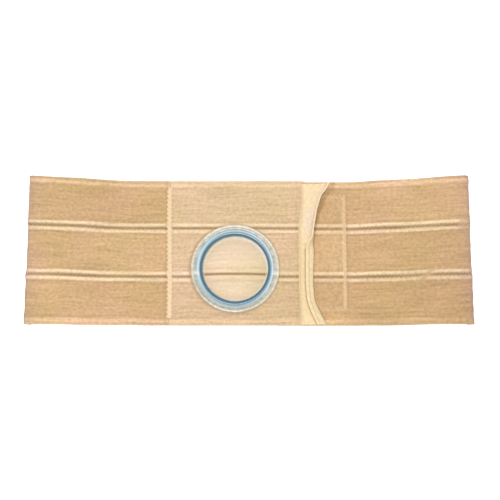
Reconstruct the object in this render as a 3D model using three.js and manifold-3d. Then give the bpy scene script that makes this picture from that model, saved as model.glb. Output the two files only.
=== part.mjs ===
// Ostomy support belt, closed and lying flat on its back with the front panel up.
// Millimetres. +X runs along the belt, +Y across it towards its top edge, +Z up.
// The origin is the middle of the belt's underside.

import * as THREE from 'three';
import { mergeVertices } from 'three/addons/utils/BufferGeometryUtils.js';
import Module from 'manifold-3d';

const wasm = await Module();
wasm.setup();

// Sizes of the whole belt
const BAND_PITCH = 50.8; // three bands of this width make the belt's height
const GAP = 0.3; // clear space left between pieces that are sewn or pressed together
const BAND_WIDTH = BAND_PITCH - GAP;
const HALF_LENGTH = 225.8; // from the middle to the outside of each fold
const CREST_HEIGHT = 38.9; // middle of the wall at the top of each fold

// The three bands, named for their places from the top edge down
const BANDS = [
  { place: 'upper', y: BAND_PITCH },
  { place: 'middle', y: 0 },
  { place: 'lower', y: -BAND_PITCH },
];

// Half thickness of the bands at their selvage ribs and in their bodies
const WRAP_RIB = 1.05;
const WRAP_BODY = 0.75;
const PANEL_RIB = 0.95;
const PANEL_BODY = 0.65;

// Sections of the bands from the edge inwards: a thick selvage rib, then the thinner body
const WRAP_SECTION = [
  { fromEdge: 0, half: 0.45 },
  { fromEdge: 0.75, half: WRAP_RIB },
  { fromEdge: 3.75, half: WRAP_RIB },
  { fromEdge: 4.95, half: WRAP_BODY },
];
const PANEL_SECTION = [
  { fromEdge: 0, half: 0.4 },
  { fromEdge: 0.75, half: PANEL_RIB },
  { fromEdge: 3.75, half: PANEL_RIB },
  { fromEdge: 4.95, half: PANEL_BODY },
];

// Heights of the layers, each given at the middle of its wall
const PATCH_THICKNESS = 1.0;
const HOOK_THICKNESS = 1.0;
const BACK_Z = WRAP_RIB; // the ribs of the back rest on the table
const WING_Z = 8.6; // right wing where the panel laps over it
const HOOK_BOTTOM = WING_Z + WRAP_RIB + GAP + PATCH_THICKNESS + GAP;
const PANEL_Z = HOOK_BOTTOM + HOOK_THICKNESS + GAP + PANEL_RIB;
const PANEL_TOP = PANEL_Z + PANEL_RIB;

// Folds: a tight crest over an upright side and a rounder foot, and the slopes that lead up to them
const CREST_RADIUS = 3.5;
const CREST_X = HALF_LENGTH - WRAP_RIB - CREST_RADIUS;
const CREST_Z = CREST_HEIGHT - CREST_RADIUS;
const FOOT_RADIUS = 12;
const FOOT_X = HALF_LENGTH - WRAP_RIB - FOOT_RADIUS;
const FOOT_Z = BACK_Z + FOOT_RADIUS;
const LEFT_SLOPE = THREE.MathUtils.degToRad(15.2);
const LEFT_BEND_RADIUS = 240; // where the left wing leaves the panel's level
const RIGHT_SLOPE = THREE.MathUtils.degToRad(15.4);
const RIGHT_BEND_RADIUS = 60; // where the right wing leaves the closure's level
const ARC_STEP = THREE.MathUtils.degToRad(16);
const LEAST_ARC_STEPS = 4;

// Places along the belt
const SEAM_X = -82.8; // upright seam between the left wing and the panel
const WING_END_X = 30; // end of the right wing, hidden under the panel
const PANEL_END_X = 57;

// Faces that round each corner of a flat piece
const CORNER_STEPS = 2;

// Upright seam tape
const TAPE = { width: 5.2, length: 138, thickness: 1.0, corner: 1.2 };

// Closure: patch on the wing and hooks under the panel's end
const PATCH = { left: 32, right: 102, bottom: -60.5, top: 62.5 };
const HOOKS = { left: 31.5, right: 55, bottom: -60, top: 62, corner: 2 };

// Patch across a seam of the wing: it rises over the two ribs and dips between them
const PATCH_OVER_SEAM = [
  { fromSeam: -4.95, lift: 0 },
  { fromSeam: -3.75, lift: 1 },
  { fromSeam: -1, lift: 1 },
  { fromSeam: 0, lift: 0 },
  { fromSeam: 1, lift: 1 },
  { fromSeam: 3.75, lift: 1 },
  { fromSeam: 4.95, lift: 0 },
];

// Pouch ring: clear border round a blue rim
const RING_X = -14.4;
const RING_Y = -17;
const RING_STEPS = 56;
const OPENING_RADIUS = 34.2;
const COLLAR_RADIUS = 37.9;
const CLOTH_HOLE_RADIUS = 38.3;
const CUTTER_DEPTH = 20;
const RIM_RADIUS = 40.1;
const LIP_RADIUS = 43;
const LIP_THICKNESS = 1.2;
const BORDER_RADIUS = 46.1;
const GROOVE_Z = 1.1; // flat groove between rim and border

// Rounded bead of the clear border: distance in from its outer edge, height above its seat
const BORDER_BEAD = [
  { inset: 0.5, z: 0 },
  { inset: 0, z: 0.6 },
  { inset: 0.2, z: 1.5 },
  { inset: 1.1, z: 2.2 },
  { inset: 2.2, z: 2.2 },
  { inset: 3.1, z: 1.6 },
  { inset: 3.7, z: GROOVE_Z },
];

// Domed top of the blue rim: distance out from the opening, height above the border's seat
const RIM_DOME = [
  { outset: 5.9, z: 1.9 },
  { outset: 4.8, z: 2.9 },
  { outset: 3.4, z: 3.5 },
  { outset: 2, z: 3.4 },
  { outset: 0.7, z: 2.6 },
  { outset: 0, z: 1.2 },
];

// End tab: the cloth in each section, and how much of it lies flat, curls and runs straight to the free edge
const TAB_X = 52.6; // edge that is sewn to the panel
const TAB_THICKNESS = 1.2;
const TAB_CURL_STEPS = 9;
const TAB_ROWS = [
  { y: 74, width: 32, flat: 17, curl: 40, tail: 2.5 },
  { y: 66, width: 31.8, flat: 11.6, curl: 66, tail: 3.2 },
  { y: 58, width: 31.5, flat: 7.5, curl: 86, tail: 4 },
  { y: 43, width: 31, flat: 4, curl: 92, tail: 7.3 },
  { y: 24, width: 30.5, flat: 2.8, curl: 98, tail: 8.2 },
  { y: 11, width: 30, flat: 3.8, curl: 121, tail: 5.2 },
  { y: 2, width: 30, flat: 6.2, curl: 169, tail: 1.2 },
  { y: -20, width: 30, flat: 6, curl: 180, tail: 0.3 },
  { y: -41, width: 30, flat: 5.8, curl: 180, tail: 0.2 },
  { y: -52, width: 31, flat: 10.1, curl: 180, tail: 2.4 },
  { y: -59, width: 32.5, flat: 16.4, curl: 180, tail: 6.4 },
  { y: -67, width: 35, flat: 20.3, curl: 180, tail: 5.9 },
  { y: -74, width: 37.5, flat: 24, curl: 180, tail: 6.9 },
];

// Finishes
const finish = (color, roughness) => new THREE.MeshStandardMaterial({ color, roughness, metalness: 0 });
const WRAP_CLOTH = finish(0xd7b184, 0.9);
const PANEL_CLOTH = finish(0xe3c59e, 0.88);
const TAPE_CLOTH = finish(0xf0d1a6, 0.85);
const TAB_CLOTH = finish(0xf8e2bb, 0.85);
const PATCH_PILE = finish(0xd6b080, 0.95);
const HOOK_PLASTIC = finish(0xe8d6b8, 0.6);
const CLEAR_PLASTIC = finish(0xd9d8c8, 0.15);
const BLUE_PLASTIC = finish(0x2f6f93, 0.2);

// A closed sheet from rows of points, each with an upper and a lower face point.
// Looking along the rows, the points of a row run from right to left.
function sheetGeometry(rows) {
  const across = rows[0].length;
  const lowerStart = rows.length * across;
  const points = [
    ...rows.flatMap((row) => row.map((point) => point.upper)),
    ...rows.flatMap((row) => row.map((point) => point.lower)),
  ];
  const upper = (i, j) => i * across + j;
  const lower = (i, j) => lowerStart + i * across + j;
  const index = [];
  const quad = (a, b, c, d) => index.push(a, b, c, a, c, d);
  const lastRow = rows.length - 1;
  const lastPoint = across - 1;
  for (let i = 0; i < lastRow; i += 1) {
    for (let j = 0; j < lastPoint; j += 1) {
      quad(upper(i, j), upper(i + 1, j), upper(i + 1, j + 1), upper(i, j + 1));
      quad(lower(i, j), lower(i, j + 1), lower(i + 1, j + 1), lower(i + 1, j));
    }
    quad(upper(i, 0), lower(i, 0), lower(i + 1, 0), upper(i + 1, 0));
    quad(upper(i, lastPoint), upper(i + 1, lastPoint), lower(i + 1, lastPoint), lower(i, lastPoint));
  }
  for (let j = 0; j < lastPoint; j += 1) {
    quad(upper(0, j), upper(0, j + 1), lower(0, j + 1), lower(0, j));
    quad(upper(lastRow, j), lower(lastRow, j), lower(lastRow, j + 1), upper(lastRow, j + 1));
  }
  const geometry = new THREE.BufferGeometry();
  geometry.setFromPoints(points);
  geometry.setIndex(index);
  return geometry;
}

// Places across a band and its half thickness at each, from one edge to the other
function bandSection(section) {
  const left = section.map(({ fromEdge, half }) => ({ across: fromEdge - BAND_WIDTH / 2, half }));
  const right = left.map(({ across, half }) => ({ across: -across, half })).reverse();
  return [...left, ...right];
}

// A band of the given section carried along a route of points in the XZ plane.
// The band's outer face is on the right of the route.
function bandGeometry(route, section, y) {
  const profile = bandSection(section);
  const rows = route.map((point, i) => {
    const before = route[Math.max(i - 1, 0)];
    const after = route[Math.min(i + 1, route.length - 1)];
    const into = point.clone().sub(i > 0 ? before : point).normalize();
    const out = after.clone().sub(i < route.length - 1 ? point : after).normalize();
    const along = into.add(out).normalize();
    const outward = new THREE.Vector2(along.y, -along.x);
    return profile.map(({ across, half }) => {
      const outer = point.clone().addScaledVector(outward, half);
      const inner = point.clone().addScaledVector(outward, -half);
      return {
        upper: new THREE.Vector3(outer.x, y - across, outer.y),
        lower: new THREE.Vector3(inner.x, y - across, inner.y),
      };
    });
  });
  return sheetGeometry(rows);
}

// Place where a slope tangent to a crest meets a level, measured from the belt's middle
function slopeFoot(slope, level) {
  const touchX = CREST_X - CREST_RADIUS * Math.sin(slope);
  const touchZ = CREST_Z + CREST_RADIUS * Math.cos(slope);
  return touchX - (touchZ - level) / Math.tan(slope);
}

// Route of the wrap through the middle of its wall: left wing, left fold, back, right fold, right wing
function wrapRoute() {
  const quarter = Math.PI / 2;
  const leftBendX = -slopeFoot(LEFT_SLOPE, PANEL_Z) + LEFT_BEND_RADIUS * Math.tan(LEFT_SLOPE / 2);
  const rightBendX = slopeFoot(RIGHT_SLOPE, WING_Z) - RIGHT_BEND_RADIUS * Math.tan(RIGHT_SLOPE / 2);
  const leftBendZ = PANEL_Z + LEFT_BEND_RADIUS;
  const rightBendZ = WING_Z + RIGHT_BEND_RADIUS;
  const path = new THREE.Path();
  path.moveTo(SEAM_X - GAP / 2, PANEL_Z);
  path.absarc(leftBendX, leftBendZ, LEFT_BEND_RADIUS, -quarter, -quarter - LEFT_SLOPE, true);
  path.absarc(-CREST_X, CREST_Z, CREST_RADIUS, quarter - LEFT_SLOPE, 2 * quarter, false);
  path.absarc(-FOOT_X, FOOT_Z, FOOT_RADIUS, 2 * quarter, 3 * quarter, false);
  path.absarc(FOOT_X, FOOT_Z, FOOT_RADIUS, -quarter, 0, false);
  path.absarc(CREST_X, CREST_Z, CREST_RADIUS, 0, quarter + RIGHT_SLOPE, false);
  path.absarc(rightBendX, rightBendZ, RIGHT_BEND_RADIUS, -quarter + RIGHT_SLOPE, -quarter, true);
  path.lineTo(WING_END_X, WING_Z);
  const route = [path.curves[0].getPoint(0)];
  for (const curve of path.curves) {
    const turn = curve.isEllipseCurve ? Math.abs(curve.aEndAngle - curve.aStartAngle) : 0;
    const steps = turn > 0 ? Math.max(LEAST_ARC_STEPS, Math.ceil(turn / ARC_STEP)) : 1;
    route.push(...curve.getPoints(steps).slice(1));
  }
  return route;
}

// Route of the front panel, read from right to left so that its outer face is up
function panelRoute() {
  return [new THREE.Vector2(PANEL_END_X, PANEL_Z), new THREE.Vector2(SEAM_X + GAP / 2, PANEL_Z)];
}

// Joining and cutting of closed solids
function toSolid(geometry) {
  const bare = geometry.clone();
  bare.deleteAttribute('normal');
  bare.deleteAttribute('uv');
  const merged = mergeVertices(bare);
  const vertProperties = Float32Array.from(merged.attributes.position.array);
  const triVerts = Uint32Array.from(merged.index.array);
  return new wasm.Manifold(new wasm.Mesh({ numProp: 3, vertProperties, triVerts }));
}

function toGeometry(solid) {
  const mesh = solid.getMesh();
  const geometry = new THREE.BufferGeometry();
  geometry.setAttribute('position', new THREE.BufferAttribute(mesh.vertProperties, 3));
  geometry.setIndex(new THREE.BufferAttribute(mesh.triVerts, 1));
  return geometry;
}

// Cuts the pouch opening through a band of the panel
function cutOpening(geometry) {
  const cutter = new THREE.CylinderGeometry(CLOTH_HOLE_RADIUS, CLOTH_HOLE_RADIUS, CUTTER_DEPTH, RING_STEPS);
  cutter.rotateX(Math.PI / 2);
  cutter.translate(RING_X, RING_Y, PANEL_Z);
  return toGeometry(toSolid(geometry).subtract(toSolid(cutter)));
}

// A flat piece with rounded corners
function plateGeometry(left, bottom, right, top, corner, thickness) {
  const quarter = Math.PI / 2;
  const outline = new THREE.Shape();
  outline.absarc(right - corner, top - corner, corner, 0, quarter, false);
  outline.absarc(left + corner, top - corner, corner, quarter, 2 * quarter, false);
  outline.absarc(left + corner, bottom + corner, corner, 2 * quarter, 3 * quarter, false);
  outline.absarc(right - corner, bottom + corner, corner, 3 * quarter, 4 * quarter, false);
  outline.closePath();
  const options = { depth: thickness, bevelEnabled: false, curveSegments: CORNER_STEPS };
  return new THREE.ExtrudeGeometry(outline, options);
}

function tapeGeometry() {
  const halfWidth = TAPE.width / 2;
  const halfLength = TAPE.length / 2;
  return plateGeometry(-halfWidth, -halfLength, halfWidth, halfLength, TAPE.corner, TAPE.thickness);
}

// The patch follows the ribs of the wing that it is sewn to, and dips into the two seams between its bands
function patchGeometry() {
  const body = WING_Z + WRAP_BODY + GAP + PATCH_THICKNESS / 2;
  const ribHeight = WRAP_RIB - WRAP_BODY;
  const acrossSeam = (seamY) => PATCH_OVER_SEAM.map(({ fromSeam, lift }) => ({
    y: seamY + fromSeam,
    z: body + lift * ribHeight,
  }));
  const profile = [
    { y: PATCH.bottom, z: body },
    ...acrossSeam(-BAND_PITCH / 2),
    ...acrossSeam(BAND_PITCH / 2),
    { y: PATCH.top, z: body },
  ];
  const rows = [PATCH.left, PATCH.right].map((x) => profile.map(({ y, z }) => ({
    upper: new THREE.Vector3(x, y, z + PATCH_THICKNESS / 2),
    lower: new THREE.Vector3(x, y, z - PATCH_THICKNESS / 2),
  })));
  return sheetGeometry(rows);
}

// One section of the tab as points and upward normals in the XZ plane, from the sewn edge to the free edge
function tabCurl({ width, flat, curl, tail }) {
  const turn = THREE.MathUtils.degToRad(curl);
  const radius = (width - flat - tail) / turn;
  const points = [{ x: 0, z: 0, angle: 0 }];
  for (let step = 0; step <= TAB_CURL_STEPS; step += 1) {
    const angle = (turn * step) / TAB_CURL_STEPS;
    points.push({ x: flat + radius * Math.sin(angle), z: radius * (1 - Math.cos(angle)), angle });
  }
  const end = points[points.length - 1];
  points.push({ x: end.x + tail * Math.cos(turn), z: end.z + tail * Math.sin(turn), angle: turn });
  return points;
}

function tabGeometry() {
  const half = TAB_THICKNESS / 2;
  const rows = TAB_ROWS.map((row) => tabCurl(row).map(({ x, z, angle }) => {
    const normal = new THREE.Vector3(-Math.sin(angle), 0, Math.cos(angle));
    const middle = new THREE.Vector3(x, row.y, z);
    return {
      upper: middle.clone().addScaledVector(normal, half),
      lower: middle.clone().addScaledVector(normal, -half),
    };
  }));
  return sheetGeometry(rows);
}

// A ring from a closed profile of radius and height, turned about the Z axis
function ringGeometry(profile) {
  const outline = profile.map(({ r, z }) => new THREE.Vector2(r, z));
  outline.push(outline[0].clone());
  const geometry = new THREE.LatheGeometry(outline, RING_STEPS);
  geometry.rotateX(Math.PI / 2);
  return geometry;
}

// Clear border: a flat groove inside a rounded outer bead
function borderGeometry() {
  const innerRadius = COLLAR_RADIUS + GAP;
  return ringGeometry([
    { r: innerRadius, z: 0 },
    ...BORDER_BEAD.map(({ inset, z }) => ({ r: BORDER_RADIUS - inset, z })),
    { r: innerRadius, z: GROOVE_Z },
  ]);
}

// Blue rim: a domed cap over the border's inner edge, a collar through the cloth and a lip behind it
function rimGeometry() {
  const capUnderside = GROOVE_Z + GAP;
  const lipTop = -2 * (PANEL_RIB + GAP);
  const lipBottom = lipTop - LIP_THICKNESS;
  return ringGeometry([
    { r: OPENING_RADIUS, z: lipBottom },
    { r: LIP_RADIUS, z: lipBottom },
    { r: LIP_RADIUS, z: lipTop },
    { r: COLLAR_RADIUS, z: lipTop },
    { r: COLLAR_RADIUS, z: capUnderside },
    { r: RIM_RADIUS, z: capUnderside },
    ...RIM_DOME.map(({ outset, z }) => ({ r: OPENING_RADIUS + outset, z })),
  ]);
}

// Assembly
const belt = new THREE.Group();

function addPiece(name, geometry, material, x = 0, y = 0, z = 0) {
  const piece = new THREE.Mesh(geometry, material);
  piece.name = name;
  piece.position.set(x, y, z);
  belt.add(piece);
}

for (const { place, y } of BANDS) {
  addPiece(`wrap_${place}_band`, bandGeometry(wrapRoute(), WRAP_SECTION, y), WRAP_CLOTH);
  const plain = bandGeometry(panelRoute(), PANEL_SECTION, y);
  addPiece(`panel_${place}_band`, place === 'upper' ? plain : cutOpening(plain), PANEL_CLOTH);
}
addPiece('left_seam_tape', tapeGeometry(), TAPE_CLOTH, SEAM_X, 0, PANEL_Z + WRAP_RIB + GAP);
addPiece('landing_patch', patchGeometry(), PATCH_PILE);
const hooks = plateGeometry(HOOKS.left, HOOKS.bottom, HOOKS.right, HOOKS.top, HOOKS.corner, HOOK_THICKNESS);
addPiece('hook_strip', hooks, HOOK_PLASTIC, 0, 0, HOOK_BOTTOM);
addPiece('end_tab', tabGeometry(), TAB_CLOTH, TAB_X, 0, PANEL_TOP + GAP + TAB_THICKNESS / 2);
addPiece('ring_flange', borderGeometry(), CLEAR_PLASTIC, RING_X, RING_Y, PANEL_TOP + GAP);
addPiece('ring_rim', rimGeometry(), BLUE_PLASTIC, RING_X, RING_Y, PANEL_TOP + GAP);

export default belt;
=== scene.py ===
"""Looks of an ostomy support belt that lies closed on its back with the front panel up.

Each surface is a numpy grid of two parameters, or a profile carried along a path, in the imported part's frame.
Metres. +X runs along the belt, +Y across it towards its top edge, +Z up.
"""

import math

import bpy
import numpy as np
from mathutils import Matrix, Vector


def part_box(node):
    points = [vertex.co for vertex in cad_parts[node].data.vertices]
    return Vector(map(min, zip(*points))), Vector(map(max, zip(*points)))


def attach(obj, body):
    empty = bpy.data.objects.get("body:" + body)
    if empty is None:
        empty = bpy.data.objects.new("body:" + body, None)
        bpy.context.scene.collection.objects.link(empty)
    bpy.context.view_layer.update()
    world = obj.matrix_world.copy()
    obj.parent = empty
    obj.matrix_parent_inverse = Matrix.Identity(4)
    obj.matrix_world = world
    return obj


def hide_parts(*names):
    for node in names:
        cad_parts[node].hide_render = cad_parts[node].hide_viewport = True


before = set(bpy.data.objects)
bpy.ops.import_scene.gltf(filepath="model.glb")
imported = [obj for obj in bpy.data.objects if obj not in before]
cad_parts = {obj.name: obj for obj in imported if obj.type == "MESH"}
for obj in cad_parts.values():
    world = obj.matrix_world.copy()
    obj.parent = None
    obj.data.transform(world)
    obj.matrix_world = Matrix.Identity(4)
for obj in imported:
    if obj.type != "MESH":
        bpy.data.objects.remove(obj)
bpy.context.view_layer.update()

MM = 0.001
BODY = "root"
TURN = 2 * math.pi
QUARTER = math.pi / 2
UP = np.array([0.0, 0.0, 1.0])

# Places read from the frame
WRAP_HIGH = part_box("wrap_middle_band")[1]
PANEL_LOW, PANEL_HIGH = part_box("panel_middle_band")
TAPE_LOW, TAPE_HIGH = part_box("left_seam_tape")
PATCH_LOW, PATCH_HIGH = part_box("landing_patch")
TAB_LOW, TAB_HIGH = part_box("end_tab")
FLANGE_LOW, FLANGE_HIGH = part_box("ring_flange")
BAND_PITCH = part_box("wrap_upper_band")[1].y - WRAP_HIGH.y
SEAM_Y = BAND_PITCH / 2
HALF_HEIGHT = 1.5 * BAND_PITCH
PANEL_Z = (PANEL_LOW.z + PANEL_HIGH.z) / 2
SEAM_X = (TAPE_LOW.x + TAPE_HIGH.x) / 2
RING_X = (FLANGE_LOW.x + FLANGE_HIGH.x) / 2
RING_Y = (FLANGE_LOW.y + FLANGE_HIGH.y) / 2
BORDER_RADIUS = (FLANGE_HIGH.x - FLANGE_LOW.x) / 2

# Bands from the top edge down: how each edge is made, how far its folds stand out past the middle band's, and
# how much painted shade darkens its right wing
BANDS = {
    "upper": {"row": 1, "top": "hem", "bottom": "seam", "stand_out": 0.4 * MM, "right_wing_shade": 0.0},
    "middle": {"row": 0, "top": "seam", "bottom": "seam", "stand_out": 0.0, "right_wing_shade": 0.04},
    "lower": {"row": -1, "top": "seam", "bottom": "hem", "stand_out": 0.5 * MM, "right_wing_shade": 0.13},
}
SEWN_GAP = 0.04 * MM
CLOTH_WIDTH = BAND_PITCH - SEWN_GAP

# Painted shade and light along the wings: a stretch's middle and reach in millimetres, and how dark its painted
# shade is, or how pale its painted light if under 0
WING_SHADING_COLUMNS = ("middle", "reach", "darkening")
WING_SHADE_AND_LIGHT = {
    "upper": ((-145, 42, 0.08), (165, 24, -0.14), (224, 18, 0.08)),
    "middle": ((-122, 30, -0.22), (214, 30, 0.15)),
    "lower": ((-92, 34, 0.09), (218, 34, 0.14)),
}
# How much darker each panel band is painted, with the shade tone
PANEL_DARKENING = {"upper": 0.0, "middle": 0.0, "lower": 0.11}

# Half thickness of the cloth at its ribs and in its body
WRAP_RIB = 1.05 * MM
WRAP_BODY = 0.75 * MM
PANEL_RIB = 0.95 * MM
PANEL_BODY = 0.65 * MM


# Meshes


def grid_quads(rows, columns, closed_rows=False, closed_columns=False):
    """Corner numbers of the faces between neighbours of a grid that is stored row by row."""
    i = np.arange(rows if closed_rows else rows - 1)[:, None]
    j = np.arange(columns if closed_columns else columns - 1)
    below = (i + 1) % rows
    beside = (j + 1) % columns
    corners = [i * columns + j, below * columns + j, below * columns + beside, i * columns + beside]
    return np.stack(corners, axis=-1).reshape(-1, 4)


def cap_quads(first, columns):
    """Faces that close the end of a flattened tube: point k of a ring meets point k from its other end."""
    k = np.arange(columns // 2 - 1)
    return first + np.stack([k, k + 1, columns - 2 - k, columns - 1 - k], axis=-1)


def tube_quads(rows, columns):
    """Faces of a tube of rings with both its ends closed."""
    ends = [cap_quads(0, columns), cap_quads((rows - 1) * columns, columns)[:, ::-1]]
    return np.concatenate([grid_quads(rows, columns, closed_columns=True), *ends])


def outward(points, quads):
    """The faces turned so that the volume they close, a sum of corner tetrahedra, is positive."""
    a, b, c, d = (points[quads[:, k]] for k in range(4))
    volume = (a * (np.cross(b, c) + np.cross(c, d))).sum()
    return quads if volume > 0 else quads[:, ::-1]


def closed_mesh(name, points, quads, surface, marks=None, sharp=60):
    """A closed mesh with a UV map in metres and one number a point for each named mark."""
    points = points.reshape(-1, 3)
    quads = outward(points, quads)
    mesh = bpy.data.meshes.new(name)
    mesh.from_pydata(points, [], quads)
    layer = mesh.uv_layers.new(name="surface")
    layer.data.foreach_set("uv", surface.reshape(-1, 2)[quads.ravel()].astype(np.float32).ravel())
    for label, values in (marks or {}).items():
        numbers = np.broadcast_to(values, surface.shape[:-1]).astype(np.float32)
        mesh.attributes.new(label, "FLOAT", "POINT").data.foreach_set("value", numbers.ravel())
    mesh.shade_smooth()
    mesh.set_sharp_from_angle(angle=math.radians(sharp))
    return mesh


def put_in_scene(name, data):
    """A new object in the scene that holds a mesh, a light or a camera."""
    holder = bpy.data.objects.new(name, data)
    bpy.context.scene.collection.objects.link(holder)
    return holder


def add_piece(name, mesh, material, slot, *nodes):
    """Puts a mesh in the scene as a piece of the belt, in place of the named CAD nodes."""
    piece = put_in_scene(name, mesh)
    mesh.materials.append(material)
    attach(piece, BODY)
    if nodes:
        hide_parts(*nodes)
    return piece


# Formulas that several pieces use. A ripple's pitch is drawn between two shares of the length it is given.
# A zigzag's corners are sharp at 1 and rounder below it.
SHORTEST_RIPPLE = 0.7
LONGEST_RIPPLE = 1.6
ZIGZAG_SHARPNESS = 0.97


def clamp(value):
    """The value, kept from 0 to 1."""
    return np.clip(value, 0, 1)


def smooth_step(low, high, value):
    """0 below low, 1 above high, and 3t^2 - 2t^3 between."""
    t = clamp((value - low) / (high - low))
    return t * t * (3 - 2 * t)


def fade(low, high, value):
    """1 below low, 0 above high, and a smooth step between."""
    return 1 - smooth_step(low, high, value)


def plateau(start, full, fading, end, value):
    """0 up to start and from end on, 1 from full to fading, and smooth steps between."""
    return smooth_step(start, full, value) * fade(fading, end, value)


def hump(value, middle, width):
    """A bell curve that is 1 in the middle."""
    return np.exp(-(((value - middle) / width) ** 2))


def soft_line(value, middle, width, height):
    """A bell curve of this height."""
    return height * hump(value, middle, width)


def mound(x, y, middle_x, middle_y, height, along, across):
    """A bell in x times a bell in y, of this height."""
    return height * hump(x, middle_x, along) * hump(y, middle_y, across)


def between(low, high, share):
    """The value at a share of the way from low to high."""
    return low + (high - low) * share


def there_and_back(values):
    """The values, then the same values in reverse."""
    return np.concatenate([values, values[..., ::-1]], axis=-1)


def grid_points(*places):
    """Points from arrays that fit one grid, one array for each coordinate."""
    return np.stack(np.broadcast_arrays(*places), axis=-1)


def ripples(along, across, seed, length, slant, count=7):
    """Seeded sum of cosine waves whose crests run along the cloth, each turned by up to slant radians."""
    draw = np.random.default_rng(seed)
    total = np.zeros(np.broadcast(along, across).shape)
    low = [-slant, SHORTEST_RIPPLE, 0]
    high = [slant, LONGEST_RIPPLE, TURN]
    for angle, pitch, start in draw.uniform(low, high, (count, 3)):
        place = across * math.cos(angle) + along * math.sin(angle)
        total += np.cos(TURN * place / (pitch * length) + start)
    return total / math.sqrt(count)


def zigzag(position, pitch, reach):
    """A triangle wave with softened corners, from -reach to reach."""
    wave = np.arcsin(ZIGZAG_SHARPNESS * np.sin(TURN * position / pitch))
    return reach * wave / math.asin(ZIGZAG_SHARPNESS)


# Threads and stitches: how thin a thread's ends are, and how a stitch is sampled and rounded
THREAD_TIP = 0.3
STITCH_POINTS = 6
STITCH_ROUNDNESS = 0.6


def thread_mesh(name, paths, up, radius, sides):
    """Round threads along paths of shape (threads, points, 3), closed by a taper at both ends.

    A ring's points are path + r (over cos a + side sin a), where side is the tangent times up, and over the
    side times the tangent.
    """
    threads, count, _ = paths.shape
    tangent = np.gradient(paths, axis=1)
    tangent /= np.linalg.norm(tangent, axis=-1, keepdims=True)
    side = np.cross(tangent, up)
    side /= np.linalg.norm(side, axis=-1, keepdims=True)
    over = np.cross(side, tangent)
    angle = TURN * np.arange(sides) / sides
    taper = np.ones(count)
    taper[[0, -1]] = THREAD_TIP
    ring = side[:, :, None] * np.sin(angle)[:, None] + over[:, :, None] * np.cos(angle)[:, None]
    points = paths[:, :, None] + radius * taper[:, None, None] * ring
    step = np.linalg.norm(np.diff(paths, axis=1), axis=-1)
    run = np.concatenate([np.zeros((threads, 1)), np.cumsum(step, axis=1)], axis=1)
    surface = grid_points(run[:, :, None], radius * angle)
    offsets = np.arange(threads)[:, None, None] * count * sides
    quads = (tube_quads(count, sides) + offsets).reshape(-1, 4)
    return closed_mesh(name, points, quads, surface, sharp=80)


def add_threads(name, paths, up, radius, material, slot, sides=6):
    """Threads along paths as one piece."""
    return add_piece(name, thread_mesh(name, paths, up, radius, sides), material, slot)


def dashes(start, end, pitch, cover):
    """Stitch places from start to end as (stitches, points), where a stitch covers a share of its pitch."""
    count = max(1, int(abs(end - start) / pitch))
    middles = start + (end - start) * (np.arange(count) + 0.5) / count
    return middles[:, None] + np.linspace(-0.5, 0.5, STITCH_POINTS) * pitch * cover


def stitch_arch():
    """How far a stitch stands out of the cloth along its length: 0 at its ends and 1 in the middle."""
    return np.sin(np.linspace(0, math.pi, STITCH_POINTS)) ** STITCH_ROUNDNESS


# Sections of the bands: how wide a rib or hem is, how far its edge is rounded, and the share of its thickness
# that the edge starts at
EDGES = {
    "seam": {"width": 6.2 * MM, "round": 2.2 * MM, "floor": 0.4},
    "hem": {"width": 8.2 * MM, "round": 0.8 * MM, "floor": 0.35},
}

# Samples across a rib or hem and how they crowd to its edge, samples of the field between two of them, and
# the share of its width at which a rib begins to fall
EDGE_SAMPLES = 14
EDGE_CROWDING = 1.5
FIELD_SAMPLES = 18
RIB_FALL = 0.66

# How far from its edge a rib's or hem's pale crown starts, is full, begins to fade and ends
CROWNS = {
    "seam": (1.1 * MM, 2.7 * MM, 4.3 * MM, 5.9 * MM),
    "hem": (1.8 * MM, 3.9 * MM, 5.3 * MM, 7.8 * MM),
}

# Marks from the very edge inwards, where each begins to fade and where it ends: the groove's painted shade, the
# lip and the rolled edge's pale tone
SEAM_GROOVE = (0.5 * MM, 2.2 * MM)
SEAM_LIP = (0.6 * MM, 2.6 * MM)
ROLLED_EDGE = (0.5 * MM, 2.6 * MM)
ROLLED_EDGE_TONE = 0.7

# Lines beside an edge: distance from it, width, and depth or tone; the grooves' tones are painted shade. The
# groove on a seam rib's far side is darker at a band's top edge, the lower side of a seam, than at its bottom
# one.
HEM_DENT = (2.3 * MM, 0.6 * MM, 0.12 * MM)
HEM_GROOVE = (8.4 * MM, 0.8 * MM, 0.12)
FAR_GROOVE = (6.9 * MM, 1.1 * MM)
TOP_FAR_TONE = 0.5
BOTTOM_FAR_TONE = 0.3


def edge_samples(width):
    """Distances from an edge, closer together at the edge: width times a power of t."""
    return width * np.linspace(0, 1, EDGE_SAMPLES) ** EDGE_CROWDING


def rib_profile(distance, kind, rib, body):
    """Half thickness of a band at a distance from its edge.

    It rises along an ellipse quarter from the edge to the rib and falls by a smooth step to the body. A hem
    is pressed in a little between its rolled edge and its inner ridge.
    """
    edge = EDGES[kind]
    rise = np.sqrt(1 - (1 - clamp(distance / edge["round"])) ** 2)
    fall = smooth_step(RIB_FALL * edge["width"], edge["width"], distance)
    dent = soft_line(distance, *HEM_DENT) if kind == "hem" else 0
    return (edge["floor"] + (1 - edge["floor"]) * rise) * between(rib, body, fall) - dent


def edge_marks(distance, kind, far_tone):
    """How much of a pale seam rib, a hem and a groove of painted shade shows at a distance from an edge, from 0
    to 1.

    Far_tone is how dark the painted shade of the groove on a seam rib's far side is.
    """
    crown = plateau(*CROWNS[kind], distance)
    none = np.zeros(distance.shape)
    if kind == "seam":
        groove = fade(*SEAM_GROOVE, distance) + soft_line(distance, *FAR_GROOVE, far_tone)
        return {"selvage": crown, "hem": none, "groove": groove}
    rolled = ROLLED_EDGE_TONE * fade(*ROLLED_EDGE, distance)
    return {"selvage": none, "hem": crown + rolled, "groove": soft_line(distance, *HEM_GROOVE)}


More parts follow.
